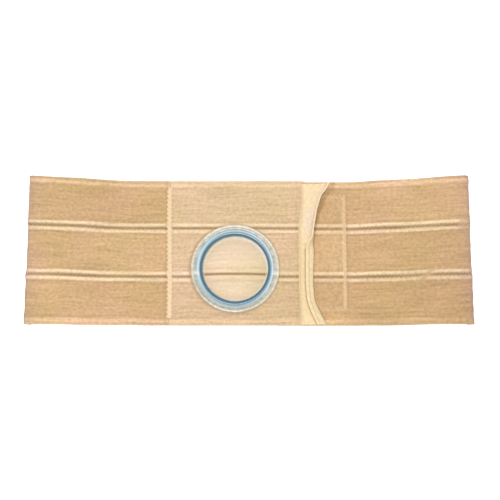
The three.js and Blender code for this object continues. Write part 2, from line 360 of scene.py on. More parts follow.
def band_section(top, bottom, rib, body):
    """One closed section of a band: its outer face from the top edge to the bottom one, then its inner face.

    Gives each point's place across the band, half thickness, side (1 outer, -1 inner), selvage, hem and
    groove, and how near it is to a seam's very edge.
    """
    top_edge = edge_samples(EDGES[top]["width"])
    bottom_edge = edge_samples(EDGES[bottom]["width"])
    field = np.linspace(top_edge[-1], CLOTH_WIDTH - bottom_edge[-1], FIELD_SAMPLES)[1:-1]
    from_top = np.concatenate([top_edge, field, CLOTH_WIDTH - bottom_edge[::-1]])
    from_bottom = CLOTH_WIDTH - from_top
    upper_half = from_top < from_bottom

    def of_nearest(first, second):
        """The top edge's values in the upper half and the bottom edge's in the lower one, on both faces."""
        return there_and_back(np.where(upper_half, first, second))

    edges = [(from_top, top), (from_bottom, bottom)]
    upper_marks = edge_marks(from_top, top, TOP_FAR_TONE)
    lower_marks = edge_marks(from_bottom, bottom, BOTTOM_FAR_TONE)
    return {
        "across": there_and_back(from_top - CLOTH_WIDTH / 2),
        "half": of_nearest(*(rib_profile(*edge, rib, body) for edge in edges)),
        "side": np.repeat([1.0, -1.0], from_top.size),
        **{name: of_nearest(upper_marks[name], lower_marks[name]) for name in upper_marks},
        "lip": there_and_back(sum(fade(*SEAM_LIP, distance) * (kind == "seam") for distance, kind in edges)),
    }


# The wrap's route: wings, slopes, tight crests over upright sides, feet and back. The last three values are
# the longest step and widest turn between two sections, and the step of its running sum.
WING_Z = 8.6 * MM
WING_END_X = 30 * MM
SEAM_TUCK = 0.15 * MM
CREST_RADIUS = 3.5 * MM
FOOT_RADIUS = 12 * MM
LEFT_SLOPE = math.radians(15.2)
LEFT_BEND_RADIUS = 240 * MM
RIGHT_SLOPE = math.radians(15.4)
RIGHT_BEND_RADIUS = 60 * MM
LONGEST_STEP = 1.35 * MM
WIDEST_TURN = math.radians(9)
FINE_STEP = 0.05 * MM


def running_sum(steps):
    """The sum of the steps so far, from 0 on."""
    return np.concatenate([[0], np.cumsum(steps)])


def wrap_route(stand_out):
    """Middle line of the wrap as arrays of run, x, z and the outward normal's x and z.

    The heading turns evenly along each arc and holds along each straight, and the line is the running sum of
    the heading's cosine and sine: left wing, crest, side and foot, back, right foot, side, crest and wing.
    """
    start_x = SEAM_X - SEAM_TUCK
    end_x = WRAP_HIGH.x + stand_out - WRAP_RIB
    crest_x = end_x - CREST_RADIUS
    crest_z = WRAP_HIGH.z - WRAP_RIB - CREST_RADIUS
    side_run = crest_z - WRAP_RIB - FOOT_RADIUS

    def wing_legs(slope, level, bend, inner_x):
        """Length and turn of each leg of a wing: level run, bend, slope, crest, upright side and foot."""
        rise = crest_z + CREST_RADIUS * math.cos(slope) - level
        touch_x = crest_x - CREST_RADIUS * math.sin(slope)
        tangent = bend * math.tan(slope / 2)
        return [
            (touch_x - rise / math.tan(slope) - tangent - inner_x, 0),
            (bend * slope, -slope),
            (rise / math.sin(slope) - tangent, 0),
            (CREST_RADIUS * (QUARTER + slope), QUARTER + slope),
            (side_run, 0),
            (FOOT_RADIUS * QUARTER, QUARTER),
        ]

    left = wing_legs(LEFT_SLOPE, PANEL_Z, LEFT_BEND_RADIUS, -start_x)
    right = wing_legs(RIGHT_SLOPE, WING_Z, RIGHT_BEND_RADIUS, WING_END_X)
    legs = [*left, (2 * (end_x - FOOT_RADIUS), 0), *right[::-1]]
    ends = running_sum([length for length, _ in legs])
    headings = math.pi + running_sum([turn for _, turn in legs])
    steps = [math.ceil(max(length / LONGEST_STEP, abs(turn) / WIDEST_TURN)) for length, turn in legs]
    stretches = [np.linspace(a, b, n, endpoint=False) for a, b, n in zip(ends[:-1], ends[1:], steps)]
    run = np.concatenate([*stretches, ends[-1:]])
    fine = np.linspace(0, ends[-1], int(ends[-1] / FINE_STEP))
    heading = np.interp(fine, ends, headings)
    middle = (heading[1:] + heading[:-1]) / 2
    x = start_x + running_sum(np.cos(middle) * np.diff(fine))
    z = PANEL_Z + running_sum(np.sin(middle) * np.diff(fine))
    turn = np.interp(run, ends, headings)
    return np.stack([run, np.interp(run, fine, x), np.interp(run, fine, z), np.sin(turn), -np.cos(turn)])


# The back: the heights between which it ends, which is higher by its upright sides
SIDES_X = 200 * MM
BACK_TOP = 3 * MM
BACK_END = 7 * MM
BACK_END_BY_SIDES = 20 * MM

# Slack in the back's cloth: how far it is drawn up or swells, and its reach along and across the belt
DRAWN_BY_RING = (3.6 * MM, 90 * MM, 38 * MM)
DRAWN_EDGE = 2.3 * MM
DRAWN_EDGE_REACH = 30 * MM
SWELLING = (6.3 * MM, 62 * MM, 52 * MM)

# A slanting pucker of the lower seam on the right wing, and the heights between which it comes in
PUCKER_X = 182.6 * MM
PUCKER_SLANT = 0.9
PUCKER_WIDTH = 3.9 * MM
PUCKER_REACH = 7 * MM
PUCKER_STRENGTH = 1.2
PUCKER_RISE = (9 * MM, 16 * MM)

# The upper seam's flat end by the right fold: where along the belt and at what heights it comes in
FLAT_END = (212 * MM, 218 * MM)
FLAT_END_RISE = (24 * MM, 32 * MM)
FLAT_END_REACH = 8 * MM

# Painted shadow beside the tab's free edge: where it comes in and where it is high, then for low and for high
# places how far past the edge it lies, how wide it is and how dark
TAB_SHADOW_START = (-2 * MM, 12 * MM)
TAB_SHADOW_HIGH = (25 * MM, 55 * MM)
TAB_SHADOW_MIDDLE = (3.2 * MM, 4.8 * MM)
TAB_SHADOW_WIDTH = (1.6 * MM, 2.7 * MM)
TAB_SHADOW_TONE = (0.273, 0.42)
TAB_SHADOW_SAMPLES = 90


def on_back(x, z):
    """1 on the wrap's back, falling to 0 up its upright sides."""
    return fade(BACK_TOP, np.where(np.abs(x) > SIDES_X, BACK_END_BY_SIDES, BACK_END), z)


def drawn_up(x, y, z):
    """How far the back's cloth is drawn to the top edge: a bell behind the ring, and its whole lower edge."""
    behind_ring = mound(x, y, RING_X, -SEAM_Y, *DRAWN_BY_RING)
    lower_edge = soft_line(y, -HALF_HEIGHT, DRAWN_EDGE_REACH, DRAWN_EDGE)
    return np.maximum(behind_ring, lower_edge) * on_back(x, z)


def billow(x, y, z):
    """How far the back's cloth swells up towards the ring: a bell in x and y, on the back alone."""
    return mound(x, y, RING_X, RING_Y, *SWELLING) * on_back(x, z)


def seam_fade(x, y, z):
    """How far a seam is flattened out, from 0 to 1: by the lower seam's pucker, and at the upper seam's end.

    The pucker is a bell across a slanting line, times a bell across the seam.
    """
    from_lower = y + SEAM_Y
    slanting = hump(x - PUCKER_SLANT * from_lower, PUCKER_X, PUCKER_WIDTH)
    pucker = PUCKER_STRENGTH * slanting * hump(from_lower, 0, PUCKER_REACH)
    upper_end = smooth_step(*FLAT_END, x) * hump(y, SEAM_Y, FLAT_END_REACH)
    return clamp(pucker * smooth_step(*PUCKER_RISE, z) + upper_end * smooth_step(*FLAT_END_RISE, z))


def tab_shadow(x, y):
    """How dark the tab's painted shadow is on the closure: a bell past its free edge, wider and farther at the
    top.
    """
    rows = np.linspace(TAB_BOTTOM, TAB_TOP, TAB_SHADOW_SAMPLES)
    edge = tab_place(rows, np.ones((rows.size, 1)), 0.0)[0][:, 0, 0]
    past = x - np.interp(y, rows, edge)
    high = smooth_step(*TAB_SHADOW_HIGH, y)
    middle, width, dark = (between(*pair, high) for pair in (TAB_SHADOW_MIDDLE, TAB_SHADOW_WIDTH, TAB_SHADOW_TONE))
    return soft_line(past, middle, width, dark) * smooth_step(*TAB_SHADOW_START, y) * (x > WING_END_X)


# Wrap bands: beads along a rib, wrinkles and sway of the wings, and where a wing begins in x and in height
BEAD_PITCH = 5.1 * MM
BEAD_DRIFT = 0.8
BEAD_DRIFT_PITCH = 37 * MM
WRAP_BEAD = 0.05 * MM
WRINKLE = 0.16 * MM
WRINKLE_PITCH = 15 * MM
WRINKLE_SLANT = 0.3
WRINKLE_SEED = 11
SWAY = 0.25 * MM
SWAY_PITCH = 83 * MM
WING_START = (104 * MM, 125 * MM)
WING_RISE = (4 * MM, 16 * MM)

# What a flattened seam loses of its depth, its pale rib and its dark groove, and a rib of its wrinkles
FILLED_LIP = 0.7
FADED_RIB = 0.8
FADED_GROOVE = 0.95
SMOOTH_RIB = 0.6

# Tones along the wrap: lines as place, width and tone, which are painted shadow beside the tape and patch, a
# pale inner rib and painted shade at the folds; stretches as start and end, how fast painted shade takes a
# hem's paleness, and how much painted shade darkens the top edge by the folds
TAPE_SHADOW = (3.4 * MM, 1.2 * MM, 0.36)
PATCH_SHADOW = (PATCH_HIGH.x + 1.2 * MM, 1.2 * MM, 0.3)
INNER_RIB = (CLOTH_WIDTH / 2 - 9 * MM, 4.5 * MM, 0.5)
BROAD_FOLD_SHADE = (0, 10 * MM, 0.3)
SHARP_FOLD_SHADE = (0, 1.6 * MM, 0.45)
FOLD_RISE = (WRAP_HIGH.z - 9 * MM, WRAP_HIGH.z - 3 * MM)
RIGHT_SHADE_START = (80 * MM, 130 * MM)
HEM_LOST_TO_SHADE = 4
SHADED_EDGE = (0.8 * MM, 2.8 * MM)
SHADED_EDGE_START = (150 * MM, 215 * MM)
SHADED_EDGE_TONE = 0.55


def wing_shade_and_light(place, x):
    """How much painted shade darkens a band at x along the wings, or painted light pales it if under 0: the sum
    of its rows' bells.
    """
    rows = dict(zip(WING_SHADING_COLUMNS, np.array(WING_SHADE_AND_LIGHT[place]).T))
    return (rows["darkening"] * hump(x[..., None], rows["middle"] * MM, rows["reach"] * MM)).sum(axis=-1)


def wrap_marks(place, section, run, x, y, z, from_end, faded):
    """Tones of a wrap band: pale ribs, hems and inner face; painted shade in grooves, beside tape, patch and
    tab, on edge and crests by the folds; painted shade and light along the wings.
    """
    band = BANDS[place]
    front = section["side"] > 0
    on_wing = front * (z > WING_Z / 2)
    inner_rib = soft_line(section["across"], *INNER_RIB) * (section["side"] < 0)
    # Painted shade darkens the right wing's middle and lower bands and takes some of their hems' paleness
    right_wing_shade = band["right_wing_shade"] * smooth_step(*RIGHT_SHADE_START, x) * on_wing
    # Painted shade and painted light in stretches along the wings
    wing_shading = wing_shade_and_light(place, x) * on_wing
    # Painted shade along the top hem's very edge near both folds
    upper_edge = fade(*SHADED_EDGE, section["across"] + CLOTH_WIDTH / 2) * (band["top"] == "hem")
    shaded_edge = SHADED_EDGE_TONE * upper_edge * smooth_step(*SHADED_EDGE_START, np.abs(x)) * on_wing
    # Painted shadow lines beside the tape's edge and beside the patch's border
    tape_shadow = soft_line(run, *TAPE_SHADOW) * front
    patch_shadow = soft_line(x, *PATCH_SHADOW) * on_wing * (np.abs(y) < PATCH_HIGH.y)
    groove = section["groove"] * (1 - FADED_GROOVE * faded)
    # Painted shade over the fold crests
    crest = smooth_step(*FOLD_RISE, z) * front
    return {
        "selvage": np.maximum(section["selvage"] * (1 - FADED_RIB * faded), inner_rib),
        "hem": clamp(section["hem"] * (1 - HEM_LOST_TO_SHADE * right_wing_shade) + clamp(-wing_shading)),
        "groove": clamp(groove + tape_shadow + patch_shadow + shaded_edge),
        "shade": clamp(right_wing_shade + clamp(wing_shading) + tab_shadow(x, y) * on_wing),
        "fold": crest * (soft_line(from_end, *BROAD_FOLD_SHADE) + soft_line(from_end, *SHARP_FOLD_SHADE)),
        "lining": np.where(front, 0.0, 1.0),
    }


def wrap_band(place):
    """A wrap band, and its length: its section carried along the route, with slanting wrinkles on the wings.

    point = route + normal (side thickness + wrinkle), raised by the back's billow. y = band middle - across,
    drawn up on the back and swaying on the wings.
    """
    band = BANDS[place]
    run, x, z, normal_x, normal_z = wrap_route(band["stand_out"])[:, :, None]
    section = band_section(band["top"], band["bottom"], WRAP_RIB, WRAP_BODY)
    across, half, side, selvage = (section[name] for name in ("across", "half", "side", "selvage"))
    flat_y = band["row"] * BAND_PITCH - across
    faded = seam_fade(x, flat_y, z)
    filled = FILLED_LIP * faded * section["lip"] * (WRAP_RIB - half)
    bead = np.sin(TURN * run / BEAD_PITCH + BEAD_DRIFT * np.sin(TURN * run / BEAD_DRIFT_PITCH))
    thick = half + filled + WRAP_BEAD * bead * selvage * (side > 0)
    wing = smooth_step(*WING_START, np.abs(x)) * smooth_step(*WING_RISE, z)
    wrinkle = WRINKLE * ripples(run, across, WRINKLE_SEED + band["row"], WRINKLE_PITCH, WRINKLE_SLANT)
    lift = side * thick + wrinkle * wing * (1 - SMOOTH_RIB * selvage)
    sway = SWAY * np.sin(TURN * run / SWAY_PITCH + band["row"]) * wing
    y = flat_y + drawn_up(x, flat_y, z) + sway
    points = grid_points(x + normal_x * lift, y, z + billow(x, y, z) + normal_z * lift)
    surface = grid_points(run, across - band["row"] * BAND_PITCH)
    from_end = WRAP_HIGH.x + band["stand_out"] - np.abs(points[..., 0])
    marks = wrap_marks(place, section, run, x, y, z, from_end, faded)
    mesh = closed_mesh(f"wrap_{place}", points, tube_quads(run.size, across.size), surface, marks)
    piece = add_piece(f"wrap_{place}_cloth", mesh, WRAP_ELASTIC, "elastic_cloth", f"wrap_{place}_band")
    return piece, float(run.max())


# Panel bands: beads and waves, the dip beside the tab's stitched edge and its painted shadow, and the hole that
# is cut for the ring
PANEL_SAMPLES = 112
PANEL_BEAD = 0.03 * MM
PANEL_WAVE = 0.05 * MM
PANEL_WAVE_PITCH = 17 * MM
PANEL_WAVE_SLANT = 0.12
PANEL_WAVE_SEED = 31
TAB_DIP_X = TAB_LOW.x - 2.6 * MM
TAB_DIP_WIDTH = 1.4 * MM
TAB_DIP_DEPTH = 0.12 * MM
TAB_DIP_SHADOW = 0.16
HOLE_RADIUS = 38.3 * MM
HOLE_STEPS = 128
CUT_DEPTH = 10 * MM


def panel_band(place):
    """A panel band: its flat section carried along X, drawn down a little beside the tab's stitched edge."""
    band = BANDS[place]
    section = band_section(band["top"], band["bottom"], PANEL_RIB, PANEL_BODY)
    across, half, side, selvage = (section[name] for name in ("across", "half", "side", "selvage"))
    front = side > 0
    x = np.linspace(PANEL_LOW.x, PANEL_HIGH.x, PANEL_SAMPLES)[:, None]
    by_tab = hump(x, TAB_DIP_X, TAB_DIP_WIDTH)
    bead = PANEL_BEAD * np.sin(TURN * x / BEAD_PITCH) * selvage * front
    wave = PANEL_WAVE * ripples(x, across, PANEL_WAVE_SEED + band["row"], PANEL_WAVE_PITCH, PANEL_WAVE_SLANT)
    lift = side * (half + bead) + wave * (1 - selvage) - TAB_DIP_DEPTH * by_tab
    points = grid_points(x, band["row"] * BAND_PITCH - across, PANEL_Z + lift)
    surface = grid_points(x, across - band["row"] * BAND_PITCH)
    marks = {
        "selvage": selvage,
        "hem": section["hem"],
        # Painted shadow in the dip beside the tab's stitched edge
        "groove": clamp(section["groove"] + TAB_DIP_SHADOW * by_tab * front),
        "shade": PANEL_DARKENING[place],
        "fold": 0.0,
        "lining": np.where(front, 0.0, 1.0),
    }
    mesh = closed_mesh(f"panel_{place}", points, tube_quads(x.size, across.size), surface, marks)
    return add_piece(f"panel_{place}_cloth", mesh, PANEL_ELASTIC, "panel_cloth", f"panel_{place}_band")


def ring_circle(radius, angle):
    """x and y at an angle round the ring's axis."""
    return RING_X + radius * np.cos(angle), RING_Y + radius * np.sin(angle)


def cut_pouch_opening(piece):
    """Cuts the ring's hole through a panel band with a round cutter."""
    angle = TURN * np.arange(HOLE_STEPS) / HOLE_STEPS
    levels = PANEL_Z + np.array([[-CUT_DEPTH], [CUT_DEPTH]])
    points = grid_points(*ring_circle(HOLE_RADIUS, angle), levels)
    sides = grid_quads(2, HOLE_STEPS, closed_columns=True)[:, ::-1]
    ends = [list(range(HOLE_STEPS))[::-1], list(range(HOLE_STEPS, 2 * HOLE_STEPS))]
    cutter_mesh = bpy.data.meshes.new("opening_cutter")
    cutter_mesh.from_pydata(points.reshape(-1, 3).tolist(), [], sides.tolist() + ends)
    cutter = put_in_scene("opening_cutter", cutter_mesh)
    cut = piece.modifiers.new("opening", "BOOLEAN")
    cut.operation = "DIFFERENCE"
    cut.object = cutter
    bpy.context.view_layer.update()
    evaluated = piece.evaluated_get(bpy.context.evaluated_depsgraph_get())
    mesh = bpy.data.meshes.new_from_object(evaluated)
    piece.modifiers.clear()
    piece.data = mesh
    bpy.data.objects.remove(cutter)


def opening_area(band_y):
    """Area of the pouch hole inside a band: the chord 2 sqrt(r^2 - h^2) summed between the band's edges."""
    edges = band_y - RING_Y + np.array([-CLOTH_WIDTH, CLOTH_WIDTH]) / 2
    h = np.clip(edges, -HOLE_RADIUS, HOLE_RADIUS)
    below = h * np.sqrt(HOLE_RADIUS**2 - h**2) + HOLE_RADIUS**2 * np.arcsin(h / HOLE_RADIUS)
    return float(below[1] - below[0])


# Stitches that join the bands: a seam's zigzag, where it stops short, and the panel's running hem stitches
SEAM_THREAD_RADIUS = 0.24 * MM
SEAM_STITCH_PITCH = 4.4 * MM
SEAM_STITCH_REACH = 2.3 * MM
SEAM_STITCH_SUNK = 0.1 * MM
SEAM_POINTS_A_PITCH = 8
SHORT_OF_WRAP_END = 6 * MM
SHORT_OF_RING = 0.8 * MM
STITCH_AFTER_START = 0.6 * MM
STITCH_BEFORE_END = 1.2 * MM
PANEL_STITCH_SAMPLES = 160
HEM_THREAD_RADIUS = 0.3 * MM
HEM_STITCH_INSET = 4.6 * MM
HEM_STITCH_PITCH = 3.7 * MM
HEM_STITCH_COVER = 0.72
HEM_STITCH_SUNK = 0.16 * MM
HEM_STITCH_HEIGHT = 0.26 * MM
HEM_STITCH_GAP = 1 * MM


def wrap_seam_stitches():
    """Zigzag threads over both seams of the wrap, on both its faces, along the middle band's route."""
    route = wrap_route(0)
    length = route[0].max()
    samples = int(length / (SEAM_STITCH_PITCH / SEAM_POINTS_A_PITCH))
    run = np.linspace(SHORT_OF_WRAP_END, length - SHORT_OF_WRAP_END, samples)
    x, z, normal_x, normal_z = (np.interp(run, route[0], values) for values in route[1:])
    normals = grid_points(normal_x, 0.0, normal_z)
    paths = []
    ups = []
    for seam_y in (SEAM_Y, -SEAM_Y):
        y = seam_y + zigzag(run, SEAM_STITCH_PITCH, SEAM_STITCH_REACH)
        drawn = y + drawn_up(x, y, z)
        middles = grid_points(x, drawn, z + billow(x, drawn, z))
        for side in (1, -1):
            paths.append(middles + side * (WRAP_RIB - SEAM_STITCH_SUNK) * normals)
            ups.append(side * normals)
    return add_threads(
        "wrap_seam_stitches", np.stack(paths), np.stack(ups), SEAM_THREAD_RADIUS, SEAM_THREAD,
        "elastic_cloth", sides=5)


def panel_seam_stitches():
    """Zigzag threads over the panel's seams, in the stretches that the ring leaves bare."""
    paths = []
    for seam_y in (SEAM_Y, -SEAM_Y):
        reach = math.sqrt((BORDER_RADIUS + SHORT_OF_RING) ** 2 - (RING_Y - seam_y) ** 2)
        for start, end in ((TAPE_HIGH.x, RING_X - reach), (RING_X + reach, TAB_LOW.x)):
            x = np.linspace(start + STITCH_AFTER_START, end - STITCH_BEFORE_END, PANEL_STITCH_SAMPLES)
            y = seam_y + zigzag(x, SEAM_STITCH_PITCH, SEAM_STITCH_REACH)
            paths.append(grid_points(x, y, PANEL_Z + PANEL_RIB - SEAM_STITCH_SUNK))
    return add_threads(
        "panel_seam_stitches", np.stack(paths), UP, SEAM_THREAD_RADIUS, SEAM_THREAD, "panel_cloth", sides=5)


def panel_hem_stitches():
    """Running stitches along the panel's top and bottom hems."""
    start = TAPE_HIGH.x + HEM_STITCH_GAP
    end = TAB_LOW.x - HEM_STITCH_GAP
    x = dashes(start, end, HEM_STITCH_PITCH, HEM_STITCH_COVER)
    hem = HALF_HEIGHT - HEM_STITCH_INSET
    z = PANEL_Z + PANEL_RIB - HEM_STITCH_SUNK + HEM_STITCH_HEIGHT * stitch_arch()
    paths = np.concatenate([grid_points(x, edge, z) for edge in (hem, -hem)])
    return add_threads("panel_hem_stitches", paths, UP, HEM_THREAD_RADIUS, CREAM_THREAD, "tape_cloth")


# Upright seam tape: its strip, how it wanders along its length, and its zigzag
TAPE_ROWS = 420
TAPE_COLUMNS = 15
TAPE_BASE = PANEL_Z + PANEL_RIB + 0.2 * MM
TAPE_EDGE = 0.1 * MM
TAPE_CROWN = 1.0 * MM
TAPE_END_ROUND = 1.2 * MM
TAPE_END_SHARE = 0.1
TAPE_EDGE_WAVE = 0.24
TAPE_CROWN_WAVE = 0.3
TAPE_SHIFT = 0.15 * MM
TAPE_SWAY = 0.75 * MM
TAPE_SWAY_PITCH = 200 * MM
TAPE_THREAD_RADIUS = 0.38 * MM
TAPE_STITCH_PITCH = 4.7 * MM
TAPE_STITCH_REACH = 1.75 * MM
TAPE_STITCH_GAP = 1 * MM
TAPE_STITCH_ABOVE = 0.2 * MM
TAPE_STITCH_SUNK = 0.3 * MM
TAPE_STITCH_SAMPLES = 480


def tape_sway(y):
    """How far the tape wanders sideways along its length."""
    return TAPE_SHIFT - TAPE_SWAY * np.sin(TURN * y / TAPE_SWAY_PITCH)


def seam_tape():
    """The tape over the upright seam: a crowned strip whose edges are drawn in by turns by its zigzag stitch.

    x = middle + reach(y) t and z = base + crown (1 - |t|^3), with t from -1 to 1 across the tape.
    """
    y = np.linspace(TAPE_LOW.y, TAPE_HIGH.y, TAPE_ROWS)[:, None]
    t = np.sin(np.linspace(-QUARTER, QUARTER, TAPE_COLUMNS))
    half_width = (TAPE_HIGH.x - TAPE_LOW.x) / 2
    wave = np.sin(TURN * y / TAPE_STITCH_PITCH)
    rounding = np.sqrt(np.clip((TAPE_HIGH.y - np.abs(y)) / TAPE_END_ROUND, TAPE_END_SHARE, 1))
    x = SEAM_X + half_width * rounding * t * (1 + TAPE_EDGE_WAVE * wave * np.sign(t)) + tape_sway(y)
    crown = TAPE_EDGE + TAPE_CROWN * (1 - np.abs(t) ** 3) * (1 + TAPE_CROWN_WAVE * wave * t)
    z = np.concatenate([TAPE_BASE + crown, np.full(crown.shape, TAPE_BASE)], axis=1)
    points = grid_points(there_and_back(x), y, z)
    mesh = closed_mesh("seam_tape", points, tube_quads(y.size, 2 * t.size), points[..., [1, 0]])
    return add_piece("seam_tape_cloth", mesh, TAPE_COTTON, "tape_cloth", "left_seam_tape")


def tape_stitches():
    """One zigzag thread down the tape, pressed in at its turns."""
    y = np.linspace(TAPE_LOW.y + TAPE_STITCH_GAP, TAPE_HIGH.y - TAPE_STITCH_GAP, TAPE_STITCH_SAMPLES)
    offset = zigzag(y, TAPE_STITCH_PITCH, TAPE_STITCH_REACH)
    sunk = TAPE_STITCH_SUNK * (offset / TAPE_STITCH_REACH) ** 4
    z = TAPE_BASE + TAPE_CROWN + TAPE_STITCH_ABOVE - sunk
    path = grid_points(SEAM_X + offset + tape_sway(y), y, z)[None]
    return add_threads("tape_stitches", path, UP, TAPE_THREAD_RADIUS, CREAM_THREAD, "tape_cloth")


# Closure patch: samples, thickness and how much of it the sheet takes up, its gap over the wing, how low it
# bridges a seam's groove as a share of the wing's half thickness, and its nap
PATCH_ROWS = 96
PATCH_COLUMNS = 190
PATCH_THICKNESS = 1.0 * MM
PATCH_UNDERSIDE = 0.95
PATCH_GAP = 0.25 * MM
PATCH_BRIDGE = 0.8
NAP = 0.06 * MM
NAP_SEED = 5

# Its stitched border: width, how far it is drawn down, its line and gathers as shares of that, and its tone
PATCH_BORDER = 3.9 * MM
BORDER_DEPTH = 0.5 * MM
BORDER_ROUND = 1.6 * MM
BORDER_LINE = (PATCH_BORDER, 0.7 * MM, 0.3)
BORDER_TONE = (PATCH_BORDER - 0.8 * MM, PATCH_BORDER + 0.6 * MM)
GATHER_PITCH = 5.2 * MM
GATHER_SHARE = 0.25
GATHER_TONE = 0.28
GATHER_PALE = 0.6

# How the wing shows through it, and how much darker it is painted in the middle, lower and upper bands, the
# upper one by painted shade
PATCH_RIB_TONE = 0.85
PATCH_GROOVE_LOSS = 0.6
PATCH_BANDS = (SEAM_Y - 6 * MM, SEAM_Y + 6 * MM)
PATCH_DARKENING = 0.01
PATCH_DARKER_BELOW = 0.17
PATCH_SHADE_ABOVE = 0.09

# Its zigzag stitches
PATCH_THREAD_RADIUS = 0.36 * MM
PATCH_END_RADIUS = 0.3 * MM
PATCH_STITCH_REACH = 1.5 * MM
PATCH_STITCH_PITCH = 2.4 * MM
PATCH_STITCH_GAP = 0.6 * MM
PATCH_STITCH_ABOVE = 0.12 * MM
PATCH_SIDE_SAMPLES = 560
PATCH_END_SAMPLES = 320


def patch_top(y):
    """Height of the patch's upper face: it lies on the wing, rises over the ribs and dips into the seams."""
    from_seam = np.abs(np.abs(y) - SEAM_Y)
    rib = np.maximum(rib_profile(from_seam, "seam", WRAP_RIB, WRAP_BODY), PATCH_BRIDGE * WRAP_BODY)
    return WING_Z + rib + PATCH_GAP + PATCH_THICKNESS


def gathers(x, y):
    """Slanting waves that the patch's stitches gather along its border."""
    return np.sin(TURN * (x + y) / GATHER_PITCH)


def landing_patch():
    """The loop-pile patch: a sheet on the wing's ribs whose upper face is roughened by a seeded nap."""
    x = np.linspace(PATCH_LOW.x, PATCH_HIGH.x, PATCH_ROWS)[:, None]
    y = np.linspace(PATCH_LOW.y, PATCH_HIGH.y, PATCH_COLUMNS)
    nap = np.random.default_rng(NAP_SEED).normal(0, NAP, (x.size, y.size))
    edge = np.minimum(PATCH_HIGH.x - x, np.minimum(y - PATCH_LOW.y, PATCH_HIGH.y - y))
    gather = GATHER_SHARE * gathers(x, y) * hump(edge, PATCH_BORDER / 2, BORDER_ROUND)
    border = smooth_step(0, BORDER_ROUND, edge) - soft_line(edge, *BORDER_LINE) + gather
    upper = patch_top(y) + nap - BORDER_DEPTH * (1 - border)
    lower = np.broadcast_to(patch_top(y) - PATCH_UNDERSIDE * PATCH_THICKNESS, upper.shape)
    points = grid_points(x, there_and_back(y), np.concatenate([upper, lower[:, ::-1]], axis=1))
    place_x, place_y = points[..., 0], points[..., 1]
    ribs = edge_marks(np.abs(np.abs(place_y) - SEAM_Y), "seam", BOTTOM_FAR_TONE)
    hemmed = fade(*BORDER_TONE, there_and_back(edge))
    # Darker painted tone below and above the middle band, the upper one painted shade, and the tab's painted
    # shadow
    below = PATCH_DARKER_BELOW * smooth_step(*PATCH_BANDS, -place_y)
    above = PATCH_SHADE_ABOVE * smooth_step(*PATCH_BANDS, place_y)
    pale = GATHER_PALE + GATHER_TONE * gathers(place_x, place_y)
    marks = {
        "selvage": np.maximum(PATCH_RIB_TONE * ribs["selvage"], pale * hemmed),
        "groove": clamp(ribs["groove"] * (1 - PATCH_GROOVE_LOSS * hemmed)),
        "shade": clamp(PATCH_DARKENING + below + above + tab_shadow(place_x, place_y)),
    }
    mesh = closed_mesh("landing_patch", points, tube_quads(x.size, 2 * y.size), points[..., :2], marks)
    return add_piece("landing_patch_pile", mesh, LOOP_PILE, "pile_cloth", "landing_patch")


def patch_stitches():
    """Close zigzag stitches round the patch's edges, which make its pale bumpy border."""
    inset = PATCH_BORDER / 2
    y = np.linspace(PATCH_LOW.y + PATCH_STITCH_GAP, PATCH_HIGH.y - PATCH_STITCH_GAP, PATCH_SIDE_SAMPLES)
    right = PATCH_HIGH.x - inset + zigzag(y, PATCH_STITCH_PITCH, PATCH_STITCH_REACH)
    path = grid_points(right, y, patch_top(y) + PATCH_STITCH_ABOVE)[None]
    side = add_threads("patch_side_stitches", path, UP, PATCH_THREAD_RADIUS, PATCH_THREAD, "pile_cloth")
    x = np.linspace(PATCH_LOW.x + PATCH_STITCH_GAP, PATCH_HIGH.x - PATCH_STITCH_GAP, PATCH_END_SAMPLES)
    wave = zigzag(x, PATCH_STITCH_PITCH, PATCH_STITCH_REACH)
    rows = [middle + wave for middle in (PATCH_LOW.y + inset, PATCH_HIGH.y - inset)]
    paths = np.stack([grid_points(x, row, patch_top(row) + PATCH_STITCH_ABOVE) for row in rows])
    ends = add_threads("patch_end_stitches", paths, UP, PATCH_END_RADIUS, PATCH_END_THREAD, "pile_cloth")
    return [side, ends]


# End tab: its sections from the top down. Each has its place, the cloth's width, and how much of that lies
# flat and runs straight to the free edge, in millimetres, and how far the cloth between curls, in degrees.
TAB_COLUMNS = ("y", "width", "flat", "curl", "tail")
TAB_ROWS = (
    (74, 34.2, 18.8, 40, 2.5),
    (66, 32.5, 14.9, 60, 3),
    (58, 30.1, 9, 80, 3.5),
    (43, 29.3, 6, 92, 5),
    (24, 26.8, 4.4, 98, 5),
    (16, 26.4, 4.5, 106, 4),
    (10, 27.2, 7.2, 126, 2.2),
    (4, 28.2, 11.8, 153, 1),
    (-2, 26.6, 13, 172, 0.4),
    (-15, 24.8, 12.4, 180, 0.3),
    (-35, 24, 12.2, 180, 0.3),
    (-51, 25.2, 13.5, 180, 0.3),
    (-63, 32.8, 18.7, 180, 0.3),
    (-70, 36.6, 22.2, 180, 0.3),
    (-76, 39.8, 25.2, 180, 0.3),
)

# Where the tab lies, the width that it is cut to, its samples, and how its sections are smoothed along Y
TAB_TOP = TAB_HIGH.y - 1.2 * MM
TAB_BOTTOM = TAB_LOW.y - 1.4 * MM
TAB_EDGE_X = TAB_LOW.x - 0.4 * MM
TAB_Z = PANEL_HIGH.z + 0.9 * MM
TAB_SAMPLES_ALONG = 170
TAB_SAMPLES_ACROSS = 58
SECTION_SPREAD = np.arange(-4, 5) * 1.1 * MM
SECTION_BLUR = 3 * MM
BEND_SHARES = (np.arange(32) + 0.5) / 32

# The curl is pressed flat where it turns far over
TAB_PRESS = 1.6
PRESS_CURL = (math.radians(105), math.radians(172))
CURLED_OVER = (math.radians(125), math.radians(165))

